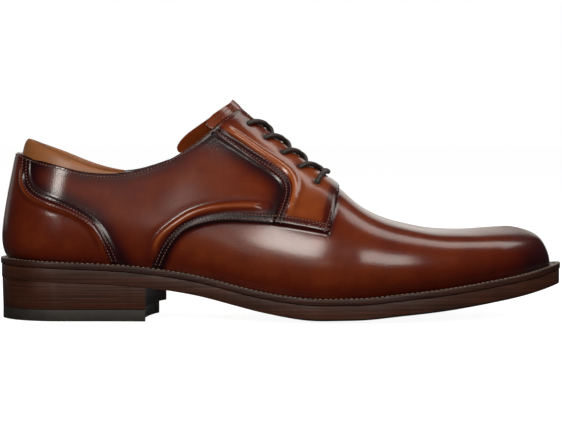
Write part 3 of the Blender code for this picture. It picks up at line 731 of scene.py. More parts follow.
def burnished_leather():
    """Polished calf, dyed and burnished by hand: cognac in the middle of each panel, oxblood to
    nearly black along the seams and over the toe, with a fine pore and a waxed shine. The real
    grain is near 0.3 mm, drawn coarser here so that it shows in the highlights."""
    made, tree, coords = material(
        "burnished_calf", Coat_Weight=0.70, Coat_Roughness=0.18, Coat_IOR=1.45, Specular_IOR_Level=0.12,
    )
    panel = {}
    for name in ("shade", "quarter", "facing", "counter", "eyelet"):
        panel[name] = add(tree, "ShaderNodeAttribute", attribute_name=name).outputs["Fac"]
    mottle = add(tree, "ShaderNodeTexNoise", {
        "Vector": coords, "Scale": 1 / MOTTLE, "Detail": 4.0, "Roughness": 0.55})
    cloud = add(tree, "ShaderNodeTexNoise", {"Vector": coords, "Scale": 1 / CLOUD, "Detail": 3.0})

    # The colour gets darker with the panel's shade attribute, unevenly: its burnished dye, with the painted
    # shadow, shade and highlights drawn into it
    shade = add(tree, "ShaderNodeMath", {0: mottle, 1: 0.34, 2: panel["shade"]}, operation="MULTIPLY_ADD")
    shade = add(tree, "ShaderNodeMath", {0: cloud, 1: 0.10, 2: shade}, operation="MULTIPLY_ADD")
    shade = add(tree, "ShaderNodeMath", {0: shade, 1: 0.22}, operation="SUBTRACT")
    colour = add(tree, "ShaderNodeValToRGB", {"Fac": shade}, BURNISH)

    # The cut edges of the panels are inked, on top of the quarter alone
    overlaid = add(tree, "ShaderNodeMapRange", {
        "Value": panel["quarter"], "From Min": -0.5, "From Max": 0.0}, interpolation_type="SMOOTHSTEP")
    cut = None
    for name in ("quarter", "facing", "counter"):
        away = add(tree, "ShaderNodeMath", {0: panel[name]}, operation="ABSOLUTE")
        line = add(tree, "ShaderNodeMapRange", {
            "Value": away, "From Min": INK_REACH, "From Max": 0.0}, interpolation_type="SMOOTHSTEP")
        if cut is None:
            cut = line
            continue
        line = add(tree, "ShaderNodeMath", {0: line, 1: overlaid}, operation="MULTIPLY")
        cut = add(tree, "ShaderNodeMath", {0: cut, 1: line}, operation="MAXIMUM")
    inked = add(tree, "ShaderNodeMath", {0: cut, 1: 0.85}, operation="MULTIPLY")
    ink = {0: inked, 6: colour.outputs[0], 7: srgb("#140505")}
    colour = add(tree, "ShaderNodeMix", ink, data_type="RGBA").outputs[2]

    # Inside an eyelet the leather is not pierced; it is painted dark, painted shade standing in for the
    # hole
    hole = add(tree, "ShaderNodeMapRange", {
        "Value": panel["eyelet"], "From Min": 2.15, "From Max": 1.75}, interpolation_type="SMOOTHSTEP")
    hole_shade = {0: hole, 6: colour, 7: srgb("#080303")}
    colour = add(tree, "ShaderNodeMix", hole_shade, data_type="RGBA").outputs[2]

    gloss = add(tree, "ShaderNodeMath", {0: mottle, 1: 0.12, 2: 0.25}, operation="MULTIPLY_ADD")
    pores = add(tree, "ShaderNodeTexVoronoi", {"Vector": coords, "Scale": 1 / PORE, "Randomness": 1.0})
    fine = add(tree, "ShaderNodeTexNoise", {"Vector": coords, "Scale": 1 / FINE_GRAIN, "Detail": 2.0})
    relief = add(tree, "ShaderNodeMath", {0: pores, 1: fine}, operation="ADD")
    grain = add(tree, "ShaderNodeBump", {"Height": relief, "Distance": 0.00005, "Strength": 0.36})
    surface(tree, Base_Color=colour, Roughness=gloss, Normal=grain, Coat_Normal=grain)
    return made


def lining_leather(name, light, dark, pore):
    """Undyed glove lining: tan, satin, a little darker where it has been handled."""
    made, tree, coords = material(name, Coat_Weight=0.12, Coat_Roughness=0.35)
    handled = add(tree, "ShaderNodeTexNoise", {"Vector": coords, "Scale": 1 / 0.018, "Detail": 4.0})
    colour = add(tree, "ShaderNodeValToRGB", {"Fac": handled}, ((0.25, light), (0.80, dark)))
    gloss = add(tree, "ShaderNodeMath", {0: handled, 1: 0.14, 2: 0.42}, operation="MULTIPLY_ADD")
    pores = add(tree, "ShaderNodeTexVoronoi", {"Vector": coords, "Scale": 1 / pore})
    grain = add(tree, "ShaderNodeBump", {"Height": pores, "Distance": 0.00008, "Strength": 0.5})
    surface(tree, Base_Color=colour, Roughness=gloss, Normal=grain)
    return made


def layered_edge(name, light, dark, layer, shine):
    """Edge of sole leather, waxed and ironed: fine level fibres, darker in streaks."""
    made, tree, coords = material(name, Coat_Weight=shine, Coat_Roughness=0.28, Specular_IOR_Level=0.30)
    drawn = add(tree, "ShaderNodeVectorMath", {0: coords, 1: FIBRE_STRETCH}, operation="MULTIPLY")
    fibres = add(tree, "ShaderNodeTexNoise", {
        "Vector": drawn, "Scale": 1 / layer, "Detail": 3.0, "Roughness": 0.6})
    streaks = add(tree, "ShaderNodeTexNoise", {"Vector": coords, "Scale": 1 / 0.020, "Detail": 3.0})
    share = add(tree, "ShaderNodeMath", {0: streaks, 1: 0.3}, operation="MULTIPLY")
    both = add(tree, "ShaderNodeMath", {0: fibres, 1: 0.7, 2: share}, operation="MULTIPLY_ADD")
    colour = add(tree, "ShaderNodeValToRGB", {"Fac": both}, ((0.33, dark), (0.66, light)))
    gloss = add(tree, "ShaderNodeMath", {0: fibres, 1: 0.22, 2: 0.34}, operation="MULTIPLY_ADD")
    relief = add(tree, "ShaderNodeBump", {"Height": fibres, "Distance": 0.00022, "Strength": 0.7})
    surface(tree, Base_Color=colour, Roughness=gloss, Normal=relief)
    return made


def plain_rubber():
    """Black heel rubber, matt with a fine moulded grain."""
    made, tree, coords = material("heel_rubber")
    dusty = add(tree, "ShaderNodeTexNoise", {"Vector": coords, "Scale": 1 / 0.006, "Detail": 4.0})
    colour = add(tree, "ShaderNodeValToRGB", {"Fac": dusty}, ((0.3, "#15110e"), (0.8, "#241d18")))
    gloss = add(tree, "ShaderNodeMath", {0: dusty, 1: 0.2, 2: 0.50}, operation="MULTIPLY_ADD")
    moulded = add(tree, "ShaderNodeTexNoise", {"Vector": coords, "Scale": 1 / 0.0006, "Detail": 2.0})
    relief = add(tree, "ShaderNodeBump", {"Height": moulded, "Distance": 0.0001, "Strength": 0.6})
    surface(tree, Base_Color=colour, Roughness=gloss, Normal=relief)
    return made


def waxed_cord():
    """Round waxed cotton lace, almost black, with its braid showing as fine slanting ribs."""
    made, tree, _ = material("waxed_lace", Coat_Weight=0.10, Coat_Roughness=0.40)
    around = add(tree, "ShaderNodeAttribute", attribute_name="around").outputs["Fac"]
    along = add(tree, "ShaderNodeAttribute", attribute_name="along").outputs["Fac"]
    ribs = []
    for way in (1.0, -1.0):
        turn = add(tree, "ShaderNodeMath", {0: along, 1: 1 / BRAID_STEP}, operation="MULTIPLY")
        turn = add(tree, "ShaderNodeMath", {0: around, 1: 6.0 * way, 2: turn}, operation="MULTIPLY_ADD")
        turn = add(tree, "ShaderNodeMath", {0: turn, 1: 2 * math.pi}, operation="MULTIPLY")
        ribs.append(add(tree, "ShaderNodeMath", {0: turn}, operation="SINE"))
    braid = add(tree, "ShaderNodeMath", {0: ribs[0], 1: ribs[1]}, operation="MAXIMUM")
    # The braid's ribs are lighter and the grooves between them darker: painted shade
    braid_shade = add(tree, "ShaderNodeMapRange", {
        "Value": braid, "From Min": -0.4, "From Max": 1.0}, interpolation_type="SMOOTHSTEP")
    colour = add(tree, "ShaderNodeValToRGB", {"Fac": braid_shade}, ((0.0, "#120a08"), (1.0, "#35241d")))
    gloss = add(tree, "ShaderNodeMath", {0: braid, 1: -0.08, 2: 0.62}, operation="MULTIPLY_ADD")
    relief = add(tree, "ShaderNodeBump", {"Height": braid, "Distance": 0.00010, "Strength": 0.8})
    surface(tree, Base_Color=colour, Roughness=gloss, Normal=relief)
    return made


def thread(name, light, dark):
    """Waxed sewing thread: twisted, a little uneven in colour."""
    made, tree, coords = material(name)
    uneven = add(tree, "ShaderNodeTexNoise", {"Vector": coords, "Scale": 1 / 0.0016, "Detail": 2.0})
    colour = add(tree, "ShaderNodeValToRGB", {"Fac": uneven}, ((0.3, dark), (0.7, light)))
    gloss = add(tree, "ShaderNodeMath", {0: uneven, 1: 0.1, 2: 0.50}, operation="MULTIPLY_ADD")
    relief = add(tree, "ShaderNodeBump", {"Height": uneven, "Distance": 0.00006, "Strength": 0.5})
    surface(tree, Base_Color=colour, Roughness=gloss, Normal=relief)
    return made


def pale_floor():
    """Pale studio floor, matt and very slightly uneven, lit from within so that it stays pale
    right up to the horizon."""
    made, tree, coords = material(
        "studio_floor", Roughness=0.75, Emission_Strength=0.935, Emission_Color=WHITE,
    )
    uneven = add(tree, "ShaderNodeTexNoise", {"Vector": coords, "Scale": 1 / 0.30, "Detail": 2.0})
    colour = add(tree, "ShaderNodeValToRGB", {"Fac": uneven}, ((0.3, "#949392"), (0.7, "#989796")))
    surface(tree, Base_Color=colour)
    return made


def smooth_step(value, start, end):
    """0 before start, 1 after end, eased between them."""
    done = np.clip((np.asarray(value) - start) / (end - start), 0, 1)
    return done * done * (3 - 2 * done)


def to_line(points, line):
    """Distance of each point from a line of straight stretches, in space."""
    starts, steps = line[:-1], np.diff(line, axis=0)
    squares = np.maximum((steps ** 2).sum(axis=1), 1e-12)
    flat = points.reshape(-1, 3)
    found = np.empty(len(flat))
    for k in range(0, len(flat), 4096):
        away = flat[k:k + 4096, None, :] - starts[None]
        share = np.clip((away * steps).sum(axis=2) / squares, 0, 1)
        found[k:k + 4096] = np.sqrt(((away - share[..., None] * steps) ** 2).sum(axis=2).min(axis=1))
    return found.reshape(points.shape[:-1])


def within(across, up, outline):
    """True where a side-view point lies within a closed outline."""
    inside = np.zeros(across.shape, bool)
    for (x1, z1), (x2, z2) in zip(outline, np.roll(outline, -1, axis=0)):
        if z1 == z2:
            continue
        crossing = ((z1 > up) != (z2 > up)) & (across < (x2 - x1) * (up - z1) / (z2 - z1) + x1)
        inside ^= crossing
    return inside


def on_last(points, side):
    """A side-view line laid on one side of the last."""
    points = points[points[:, 1] > 0.004]
    angle, v = locate(points, side)
    return last_point(angle, v, side)


def beside(points, distance):
    """A side-view line moved to its left by a distance in metres."""
    x, z = side_view(points)
    path = np.column_stack([x, z])
    along = np.gradient(path, axis=0)
    along /= np.linalg.norm(along, axis=1)[:, None]
    path = path + np.column_stack([-along[:, 1], along[:, 0]]) * distance
    share = (path[:, 1] - welt_top(path[:, 0])) / LAST_HEIGHT
    return np.column_stack([station(path[:, 0]), share])


LOW, HIGH, AHEAD = -0.30, 1.40, 1.10
SEAM_LINE, TAB_LINE = smooth_line(VAMP_SEAM, 90), smooth_line(TAB_FRONT, 40)
FACING_LINE, COUNTER_LINE = smooth_line(FACING_EDGE, 80), smooth_line(COUNTER_EDGE, 80)
VAMP_OUTLINE = np.concatenate([
    [(VAMP_SEAM[0][0] - 0.02, LOW)], SEAM_LINE, TAB_LINE[1:],
    [(TAB_FRONT[-1][0], HIGH), (AHEAD, HIGH), (AHEAD, LOW)],
])
QUARTER_OUTLINE = np.concatenate([
    [(FACING_EDGE[0][0] - 0.02, HIGH)], FACING_LINE,
    [(FACING_EDGE[-1][0], LOW), (COUNTER_EDGE[-1][0], LOW)],
    COUNTER_LINE[::-1], [(COUNTER_EDGE[0][0], HIGH)],
])


class Side:
    """One side of the upper: its seams on the last, and how thick and how dark it is anywhere."""

    def __init__(self, side):
        self.side = side
        tab_angle = angle_at_ridge(np.linspace(THROAT_END_SHARE, TAB_FRONT[-2][0], 9)[::-1])
        corner = last_point(tab_angle, rim(tab_angle, side), side)
        tab = on_last(TAB_LINE[TAB_LINE[:, 1] < 0.53], side)
        self.quarter = np.concatenate([on_last(SEAM_LINE, side), tab[1:], corner])
        self.facing = on_last(FACING_LINE, side)
        self.counter = on_last(COUNTER_LINE, side)
        beads = (VAMP_BEAD, FACING_BEAD, COUNTER_BEAD)
        self.beads = [on_last(smooth_line(line, 60), side) for line in beads]
        self.bead_ends = [line[k] for line in self.beads for k in (0, -1)]
        angle, v = locate(EYELETS, side)
        self.eyelets = last_point(angle, v, side)
        rim_angle = np.linspace(0, angle_at_ridge(THROAT_END_SHARE), 240)
        self.rim = last_point(rim_angle, rim(rim_angle, side), side)

    def read(self, points, crown=False):
        """Height over the last, darkness, and distances in millimetres from each seam."""
        across = station(points[..., 0])
        up = (points[..., 2] - welt_top(points[..., 0])) / LAST_HEIGHT
        vamp = within(across, up, VAMP_OUTLINE) | crown
        plain = within(across, up, QUARTER_OUTLINE)
        quarter = to_line(points, self.quarter) * np.where(vamp, -1, 1)
        facing = to_line(points, self.facing) * np.where(~plain & (across > 0.3), 1, -1)
        counter = to_line(points, self.counter) * np.where(~plain & (across < 0.3), 1, -1)
        bead = np.min([to_line(points, line) for line in self.beads], axis=0)
        from_end = np.min([np.linalg.norm(points - e, axis=-1) for e in self.bead_ends], axis=0)
        full = smooth_step(from_end, 0.0, BEAD_FADE)
        eyelet = np.min([np.linalg.norm(points - e, axis=-1) for e in self.eyelets], axis=0)
        edge = to_line(points, self.rim)

        on_quarter = smooth_step(quarter, -EDGE_SOFTNESS / 2, EDGE_SOFTNESS / 2)
        over = np.maximum(
            smooth_step(facing, -EDGE_SOFTNESS / 2, EDGE_SOFTNESS / 2),
            smooth_step(counter, -EDGE_SOFTNESS / 2, EDGE_SOFTNESS / 2),
        )
        height = on_quarter * (QUARTER_STEP + OVERLAY_STEP * over)
        crest = np.clip(1 - (bead / BEAD_FOOT) ** 2, 0, 1) ** BEAD_FULLNESS
        height = height + BEAD_HEIGHT * full * crest
        height = height - BEAD_GROOVE * full * np.exp(-((bead - GROOVE_PLACE) / GROOVE_WIDTH) ** 2)
        height = height - EYELET_DIMPLE * np.exp(-(eyelet / DIMPLE_REACH) ** 2)
        sunk = np.exp(-((edge - RIM_STITCH) / RIM_GROOVE_WIDTH) ** 2) * (over + 1) / 2 * on_quarter
        height = height - RIM_GROOVE * sunk
        for s, h, half_length, half_width, slope, depth in CREASES:
            dx, dz = (across - s) * SHOE_LENGTH, (up - h) * LAST_HEIGHT
            turn = math.radians(slope)
            along = dx * math.cos(turn) + dz * math.sin(turn)
            aside = -dx * math.sin(turn) + dz * math.cos(turn)
            height = height - depth * np.exp(-(along / half_length) ** 2 - (aside / half_width) ** 2)

        def halo(distance, reach, amount):
            """Darkness that fades away from a line over a reach."""
            return amount * np.exp(-(distance / reach) ** 2)

        # Each panel is darker near its lines and in the bands just inside an overlay's edge; on the vamp
        # beside the quarter's edge this is painted shadow
        lines = {"quarter": quarter, "facing": facing, "counter": counter, "rim": edge, "welt": up}
        panels = {}
        for panel, (middle, halos, bands) in BURNISH_AND_PAINTED_SHADOW.items():
            shade = np.full(across.shape, middle)
            for line, reach, amount in halos:
                shade += halo(lines[line], reach, amount)
            for line, amount in bands:
                away = lines[line]
                shade += amount * smooth_step(away, *BAND_START) * smooth_step(away, *BAND_END)
            panels[panel] = shade
        for panel, amount, start, end in DARK_ENDS:
            panels[panel] += amount * smooth_step(across, start, end)
        panels["facing"] += FACING_TOP_SHADE * smooth_step(up, *FACING_TOP)

        places = [vamp, facing > 0, counter > 0]
        shade = np.select(places, [panels["vamp"], panels["facing"], panels["counter"]], panels["quarter"])

        # A bead is lighter along its crest, painted highlight over its rubbed wear, and darker at its foot
        # and in the groove beside it, painted shade; the dimple round an eyelet is darkened too, painted
        # shade round its hole
        shade = shade + full * (halo(bead - 0.0030, 0.0010, 0.12) - halo(bead, 0.0015, 0.36))
        shade = shade + halo(eyelet, 0.0030, 0.35)
        fields = {
            "shade": shade, "quarter": quarter * 1000, "facing": facing * 1000,
            "counter": counter * 1000, "eyelet": eyelet * 1000,
        }
        return height, fields


def weld(patches):
    """Vertices, faces and attributes of grids that share their touching points. A patch is
    (grid, attributes, flip), and every attribute has the grid's shape."""
    places = np.concatenate([grid.reshape(-1, 3) for grid, _, _ in patches])
    keys = np.round(places * 1e7).astype(np.int64)
    _, first, back = np.unique(keys, axis=0, return_index=True, return_inverse=True)
    back = back.reshape(-1)
    faces, offset = [], 0
    for grid, _, flip in patches:
        rows, columns = grid.shape[:2]
        index = back[offset:offset + rows * columns].reshape(rows, columns)
        offset += rows * columns
        corners = [index[:-1, :-1], index[1:, :-1], index[1:, 1:], index[:-1, 1:]]
        quads = np.stack(corners, axis=-1).reshape(-1, 4)
        faces.append(quads[:, ::-1] if flip else quads)
    faces = np.concatenate(faces)
    shapes = []
    for face in faces.tolist():
        corners = [a for k, a in enumerate(face) if a != face[k - 1]]
        if len(set(corners)) >= 3:
            shapes.append(corners)
    names = patches[0][1].keys()
    values = {name: np.concatenate([p[1][name].reshape(-1) for p in patches])[first] for name in names}
    return places[first], shapes, values


def piece(name, vertices, faces, values, finish):
    """A new object with its material and its attributes."""
    mesh = bpy.data.meshes.new(name)
    mesh.from_pydata([tuple(v) for v in vertices], [], faces)
    for key, numbers in values.items():
        stored = mesh.attributes.new(key, "FLOAT", "POINT")
        stored.data.foreach_set("value", np.asarray(numbers, np.float32))
    mesh.materials.append(finish)
    mesh.shade_smooth()
    made = bpy.data.objects.new(name, mesh)
    bpy.context.scene.collection.objects.link(made)
    return made


def matched(first, second):
    """Makes the two sides' shared points the same."""
    middle = (first + second) / 2
    first[...] = middle
    second[...] = middle


def skin_angles():
    """Angles of the skin's ribs, closer together where the seams are, with one of them at the
    throat's end, and that one's number."""
    back, front = SKIN_RIBS
    dense, wide = np.linspace(0, DENSE_END, back + 1), np.linspace(DENSE_END, math.pi, front + 1)
    angles = np.concatenate([dense, wide[1:]])
    end = float(angle_at_ridge(THROAT_END_SHARE))
    throat = int(np.argmin(np.abs(angles - end)))
    angles[throat] = end
    return angles, throat


def make_skin(sides):
    """The leather of the upper, rolled over at the collar and the facings, and its lining."""
    angles, throat = skin_angles()
    grids = {}
    for side in (OUTER, INNER):
        reader = sides[side]
        top = rim(angles, side)
        rib = last_point(angles[:, None], np.linspace(0, 1, 30)[None] * top[:, None], side)
        length = np.linalg.norm(np.diff(rib, axis=1), axis=2).sum(axis=1)
        overlaid = smooth_step(np.abs(share_of(angles) - 0.16), 0.11, 0.13)
        half_wall = (QUARTER_STEP + OVERLAY_STEP * overlaid + WALL) / 2
        low_top = np.where(np.arange(len(angles)) < throat, top * (1 - half_wall / length), top)

        # The outer face, in level rows that end where they meet the rim
        level = np.maximum(v_at_gap(angles, side, THROAT_GAP / 2), low_top)
        v = np.minimum(level[:, None] * np.linspace(0, 1, SKIN_ROWS + 1)[None], low_top[:, None])
        v[:, -1] = low_top
        base = last_point(angles[:, None], v, side)
        height, fields = reader.read(base)
        main = skin_point(angles[:, None], v, side, height)

        # Its part over the ridge, ahead of the throat
        v_crown = top[throat:, None] + (1 - top[throat:, None]) * np.linspace(0, 1, CROWN_ROWS + 1)[None]
        crown_base = last_point(angles[throat:, None], v_crown, side)
        crown_height, crown_fields = reader.read(crown_base, True)
        crown_height[:, 0] = height[throat:, -1]
        for key in fields:
            crown_fields[key][:, 0] = fields[key][throat:, -1]
        crown = skin_point(angles[throat:, None], v_crown, side, crown_height)

        # The edge, rolled over to the lining
        edge = base[:throat + 1, -1]
        normal = last_normal(angles[:throat + 1], low_top[:throat + 1], side)
        upward = unit(edge - last_point(angles[:throat + 1], low_top[:throat + 1] - RIB_STEP, side))
        rim_height = height[:throat + 1, -1]
        middle, radius = (rim_height - WALL) / 2, (rim_height + WALL) / 2
        turn = np.linspace(0, math.pi, ROLL_ROWS + 1)
        out = middle[:, None] + radius[:, None] * np.cos(turn)
        over = radius[:, None] * np.sin(turn)
        roll = edge[:, None] + normal[:, None] * out[..., None] + upward[:, None] * over[..., None]
        roll[:, 0] = main[:throat + 1, -1]
        last = {key: value[:throat + 1, -1:] for key, value in fields.items()}
        roll_fields = {key: np.repeat(value, ROLL_ROWS + 1, axis=1) for key, value in last.items()}
        roll_fields["shade"] = roll_fields["shade"] + 0.10

        # The lining, and its part over the ridge
        inner_v = low_top[:, None] * np.linspace(1, 0, LINING_ROWS + 1)[None]
        inner = skin_point(angles[:, None], inner_v, side, -WALL)
        inner[:throat + 1, 0] = roll[:, -1]
        inner_crown = skin_point(angles[throat:, None], v_crown[:, ::-1], side, -WALL)
        inner_crown[:, -1] = inner[throat:, 0]
        grids[side] = dict(
            main=main, fields=fields, crown=crown, crown_fields=crown_fields, roll=roll,
            roll_fields=roll_fields, inner=inner, inner_crown=inner_crown,
        )

    # Both sides share their points at the back seam, on the ridge and at the toe
    one, two = grids[OUTER], grids[INNER]
    for key in ("main", "inner"):
        matched(one[key][0], two[key][0])
        matched(one[key][-1], two[key][-1])
    matched(one["roll"][0], two["roll"][0])
    matched(one["crown"][:, -1], two["crown"][:, -1])
    matched(one["crown"][-1], two["crown"][-1])
    matched(one["inner_crown"][:, 0], two["inner_crown"][:, 0])
    matched(one["inner_crown"][-1], two["inner_crown"][-1])
    for grid in (one, two):
        grid["crown"][-1, 0] = grid["main"][-1, -1]
        grid["inner_crown"][-1, -1] = grid["inner"][-1, 0]
        grid["roll"][0, 0] = grid["main"][0, -1]
        grid["inner"][0, 0] = grid["roll"][0, -1]

    # The patches of each piece, with a wall that closes the throat's end
    outside, inside = [], []
    for side in (OUTER, INNER):
        grid, flip = grids[side], side == INNER
        outside += [
            (grid["main"], grid["fields"], flip), (grid["crown"], grid["crown_fields"], flip),
            (grid["roll"], grid["roll_fields"], flip),
        ]
        wall = np.stack([grid["crown"][0], grid["inner_crown"][0, ::-1]])
        wall_fields = {key: np.stack([value[0], value[0]]) for key, value in grid["crown_fields"].items()}
        outside.append((wall, wall_fields, not flip))
        blank = {"shade": np.zeros(grid["inner"].shape[:2])}
        blank_crown = {"shade": np.zeros(grid["inner_crown"].shape[:2])}
        inside += [(grid["inner"], blank, flip), (grid["inner_crown"], blank_crown, flip)]
    return weld(outside), weld(inside)


def on_surface(sides, angle, v, side, lift=0.0):
    """Points on the dressed surface of the upper."""
    base = last_point(angle, v, side)
    height, _ = sides[side].read(base)
    return skin_point(angle, v, side, height + lift)


def guide_lines(sides):
    """The lines that the upper's stitches follow."""
    lines = []
    for side in (OUTER, INNER):
        paths = []
        for row in STITCH_ROWS:
            paths.append(beside(SEAM_LINE, row))
            paths.append(beside(FACING_LINE[2:-8], row))
            paths.append(beside(COUNTER_LINE[2:], -row))
        paths.append(beside(TAB_LINE[TAB_LINE[:, 1] < 0.52], STITCH_ROWS[0]))
        corner = np.array([(0.5785, 0.365), (0.560, 0.385), (0.545, 0.372)])
        paths.append(smooth_line(corner, 12))
        for path in paths:
            path = path[path[:, 1] > 0.02]
            angle, v = locate(path, side)
            keep = v < rim(angle, side) - 0.02
            lines.append(on_surface(sides, angle[keep], v[keep], side, THREAD_LIFT))
        angle = np.linspace(0.0, float(angle_at_ridge(THROAT_END_SHARE)) - 0.01, 220)
        top = rim(angle, side)
        below = last_point(angle, top, side) - last_point(angle, top - RIB_STEP, side)
        length = np.linalg.norm(below, axis=1) / RIB_STEP
        lines.append(on_surface(sides, angle, top - RIM_STITCH / length, side, THREAD_LIFT))
    return lines


def stitch_tree():
    """Geometry nodes that lay a row of short stitches along each guide line."""
    tree = bpy.data.node_groups.new("stitch_row", "GeometryNodeTree")
    sockets = (
        ("Geometry", "NodeSocketGeometry"), ("Pitch", "NodeSocketFloat"), ("Length", "NodeSocketFloat"),
        ("Thickness", "NodeSocketFloat"), ("Thread", "NodeSocketMaterial"), ("Seed", "NodeSocketInt"),
    )
    for name, kind in sockets:
        tree.interface.new_socket(name, in_out="INPUT", socket_type=kind)
    tree.interface.new_socket("Geometry", in_out="OUTPUT", socket_type="NodeSocketGeometry")
    given = tree.nodes.new("NodeGroupInput").outputs
    curve = add(tree, "GeometryNodeMeshToCurve", {"Mesh": given["Geometry"]})
    rows = add(tree, "GeometryNodeResampleCurve", {"Curve": curve, "Length": given["Pitch"]}, mode="LENGTH")
    ball = add(tree, "GeometryNodeMeshUVSphere", {"Segments": 8, "Rings": 6, "Radius": 0.5})
    size = add(tree, "ShaderNodeCombineXYZ", {
        "X": given["Length"], "Y": given["Thickness"], "Z": given["Thickness"]})
    shaped = add(tree, "GeometryNodeTransform", {"Geometry": ball, "Scale": size})
    tangent = add(tree, "GeometryNodeInputTangent")
    uneven = add(tree, "FunctionNodeRandomValue", {
        0: (-0.10, -0.10, -0.10), 1: (0.10, 0.10, 0.10), "Seed": given["Seed"]}, data_type="FLOAT_VECTOR")
    aim = add(tree, "ShaderNodeVectorMath", {0: tangent, 1: uneven}, operation="ADD")
    turned = add(tree, "FunctionNodeAlignRotationToVector", {"Vector": aim}, axis="X")
    laid = add(tree, "GeometryNodeInstanceOnPoints", {
        "Points": rows, "Instance": shaped, "Rotation": turned})
    real = add(tree, "GeometryNodeRealizeInstances", {"Geometry": laid})
    smooth = add(tree, "GeometryNodeSetShadeSmooth", {"Geometry": real})
    painted = add(tree, "GeometryNodeSetMaterial", {"Geometry": smooth, "Material": given["Thread"]})
    out = tree.nodes.new("NodeGroupOutput")
    tree.links.new(painted.outputs[0], out.inputs[0])
    return tree


def sewn(name, lines, tree, settings):
    """Stitches along lines, as one finished mesh."""
    vertices, edges = [], []
    for line in lines:
        start = len(vertices)
        vertices += [tuple(p) for p in line]
        edges += [(k, k + 1) for k in range(start, len(vertices) - 1)]
    mesh = bpy.data.meshes.new(name + "_guide")
    mesh.from_pydata(vertices, edges, [])
    made = bpy.data.objects.new(name, mesh)
    bpy.context.scene.collection.objects.link(made)
    modifier = made.modifiers.new("stitches", "NODES")
    modifier.node_group = tree

    # A modifier's inputs go by the socket's identifier, and are set before the first evaluation
    for item in tree.interface.items_tree:
        if item.in_out == "INPUT" and item.name in settings:
            modifier[item.identifier] = settings[item.name]
    ready = bpy.data.meshes.new_from_object(made.evaluated_get(bpy.context.evaluated_depsgraph_get()))
    made.modifiers.remove(modifier)
    made.data = ready
    ready.name = name
    return made


def closed_tube(name, rings, finish, values=None):
    """A tube along rings, with its ends closed."""
    rings = np.array(rings)
    count, around = rings.shape[:2]
    vertices = list(rings.reshape(-1, 3)) + [rings[0].mean(axis=0), rings[-1].mean(axis=0)]
    faces = []
    for i in range(count - 1):
        for k in range(around):
            after = (k + 1) % around
            here, ahead = i * around, (i + 1) * around
            faces.append((here + k, here + after, ahead + after, ahead + k))
    for k in range(around):
        after = (k + 1) % around
        faces.append((after, k, count * around))
        faces.append(((count - 1) * around + k, (count - 1) * around + after, count * around + 1))
    filled = {key: np.concatenate([np.asarray(v).reshape(-1), [0, 0]]) for key, v in (values or {}).items()}
    made = piece(name, vertices, faces, filled, finish)
    face_out(made)
    return made


def face_out(made):
    """Turns a closed mesh's faces outwards."""
    bm = bmesh.new()
    bm.from_mesh(made.data)
    bmesh.ops.recalc_face_normals(bm, faces=bm.faces)
    if bm.calc_volume(signed=True) < 0:
        bmesh.ops.reverse_faces(bm, faces=bm.faces)
    bm.to_mesh(made.data)
    bm.free()


def bevelled(made, width, degrees=50):
    """Rounds the sharp edges of a closed piece."""
    modifier = made.modifiers.new("round", "BEVEL")
    modifier.width = width
    modifier.segments = 3
    modifier.limit_method = "ANGLE"
    modifier.angle_limit = math.radians(degrees)
    ready = bpy.data.meshes.new_from_object(made.evaluated_get(bpy.context.evaluated_depsgraph_get()))
    made.modifiers.remove(modifier)
    ready.name = made.name
    made.data = ready
    ready.shade_smooth()
    return made


def slab(name, patches, finish, bevel):
    """A closed solid between two faces, each made of grids."""
    both = []
    for top, bottom in patches:
        both.append((top, {}, False))
        both.append((bottom, {}, True))
        for pick in (np.s_[0], np.s_[-1], np.s_[:, 0], np.s_[:, -1]):
            both.append((np.stack([top[pick], bottom[pick]]), {}, False))
    vertices, faces, values = weld(both)
    seen = {}
    for face in faces:
        seen.setdefault(frozenset(face), []).append(face)
    faces = [group[0] for group in seen.values() if len(group) == 1]
    made = piece(name, vertices, faces, values, finish)
    face_out(made)
    return bevelled(made, bevel)


def sole_shares():
    """Shares of the sole's length, closer together round the heel and the toe."""
    return share_of(np.linspace(0, math.pi, SOLE_RIBS + 1))


def sole_grid(inset, height):
    """Fine grid over the sole's plan drawn in by inset."""
    share, out = sole_shares()[:, None], np.linspace(-1, 1, SOLE_ACROSS + 1)[None]
    x, y = plan_point(share, out, inset)
    x, out = np.broadcast_arrays(x, out)
    return np.stack([x, y, height(x, out)], axis=-1)


def welt_faces(side):
    """Top and bottom of the welt on one side, with the seam's shallow groove along the top."""
    inner = WELT_REACH + WALL + WELT_LEDGE
    groove = [WELT_STITCH - 0.0004, WELT_STITCH, WELT_STITCH + 0.0004]
    insets = np.array([0.0, 0.0009, 0.0018, *groove, 0.0040, inner])
    drops = np.array([0.0, 0.0, 0.0, 0.00008, 0.00030, 0.00008, 0.0, 0.0])
    faces = []
    for height, lift, dip in ((welt_top, 0.0, drops), (welt_bottom, FIT_GAP, drops * 0)):
        lines = []
        for inset, drop in zip(insets, dip):
            x, y = plan_point(sole_shares(), side, inset)
            lines.append(np.stack([x, y, height(x) + lift - drop], axis=-1))
        faces.append(np.stack(lines, axis=1))
    return faces


def heel_faces(inset, height, cut):
    """Fine grid over the heel's plan, ending at the breast."""
    out = np.linspace(-1, 1, 2 * SOLE_ACROSS + 1)[None]
    done = np.linspace(0, 1, 61)[:, None] ** 1.6
    breast = BREAST_OUTER + BREAST_LEAD * (out + 1) / 2 - BREAST_HOLLOW * (1 - out ** 2)
    breast = breast - cut * np.clip((out - 0.7) / 0.3, 0, 1)
    share = done * (breast - inset) / (SHOE_LENGTH - 2 * inset)
    x, y = plan_point(share, out, inset)
    return np.stack([x, y, height(x, out)], axis=-1)


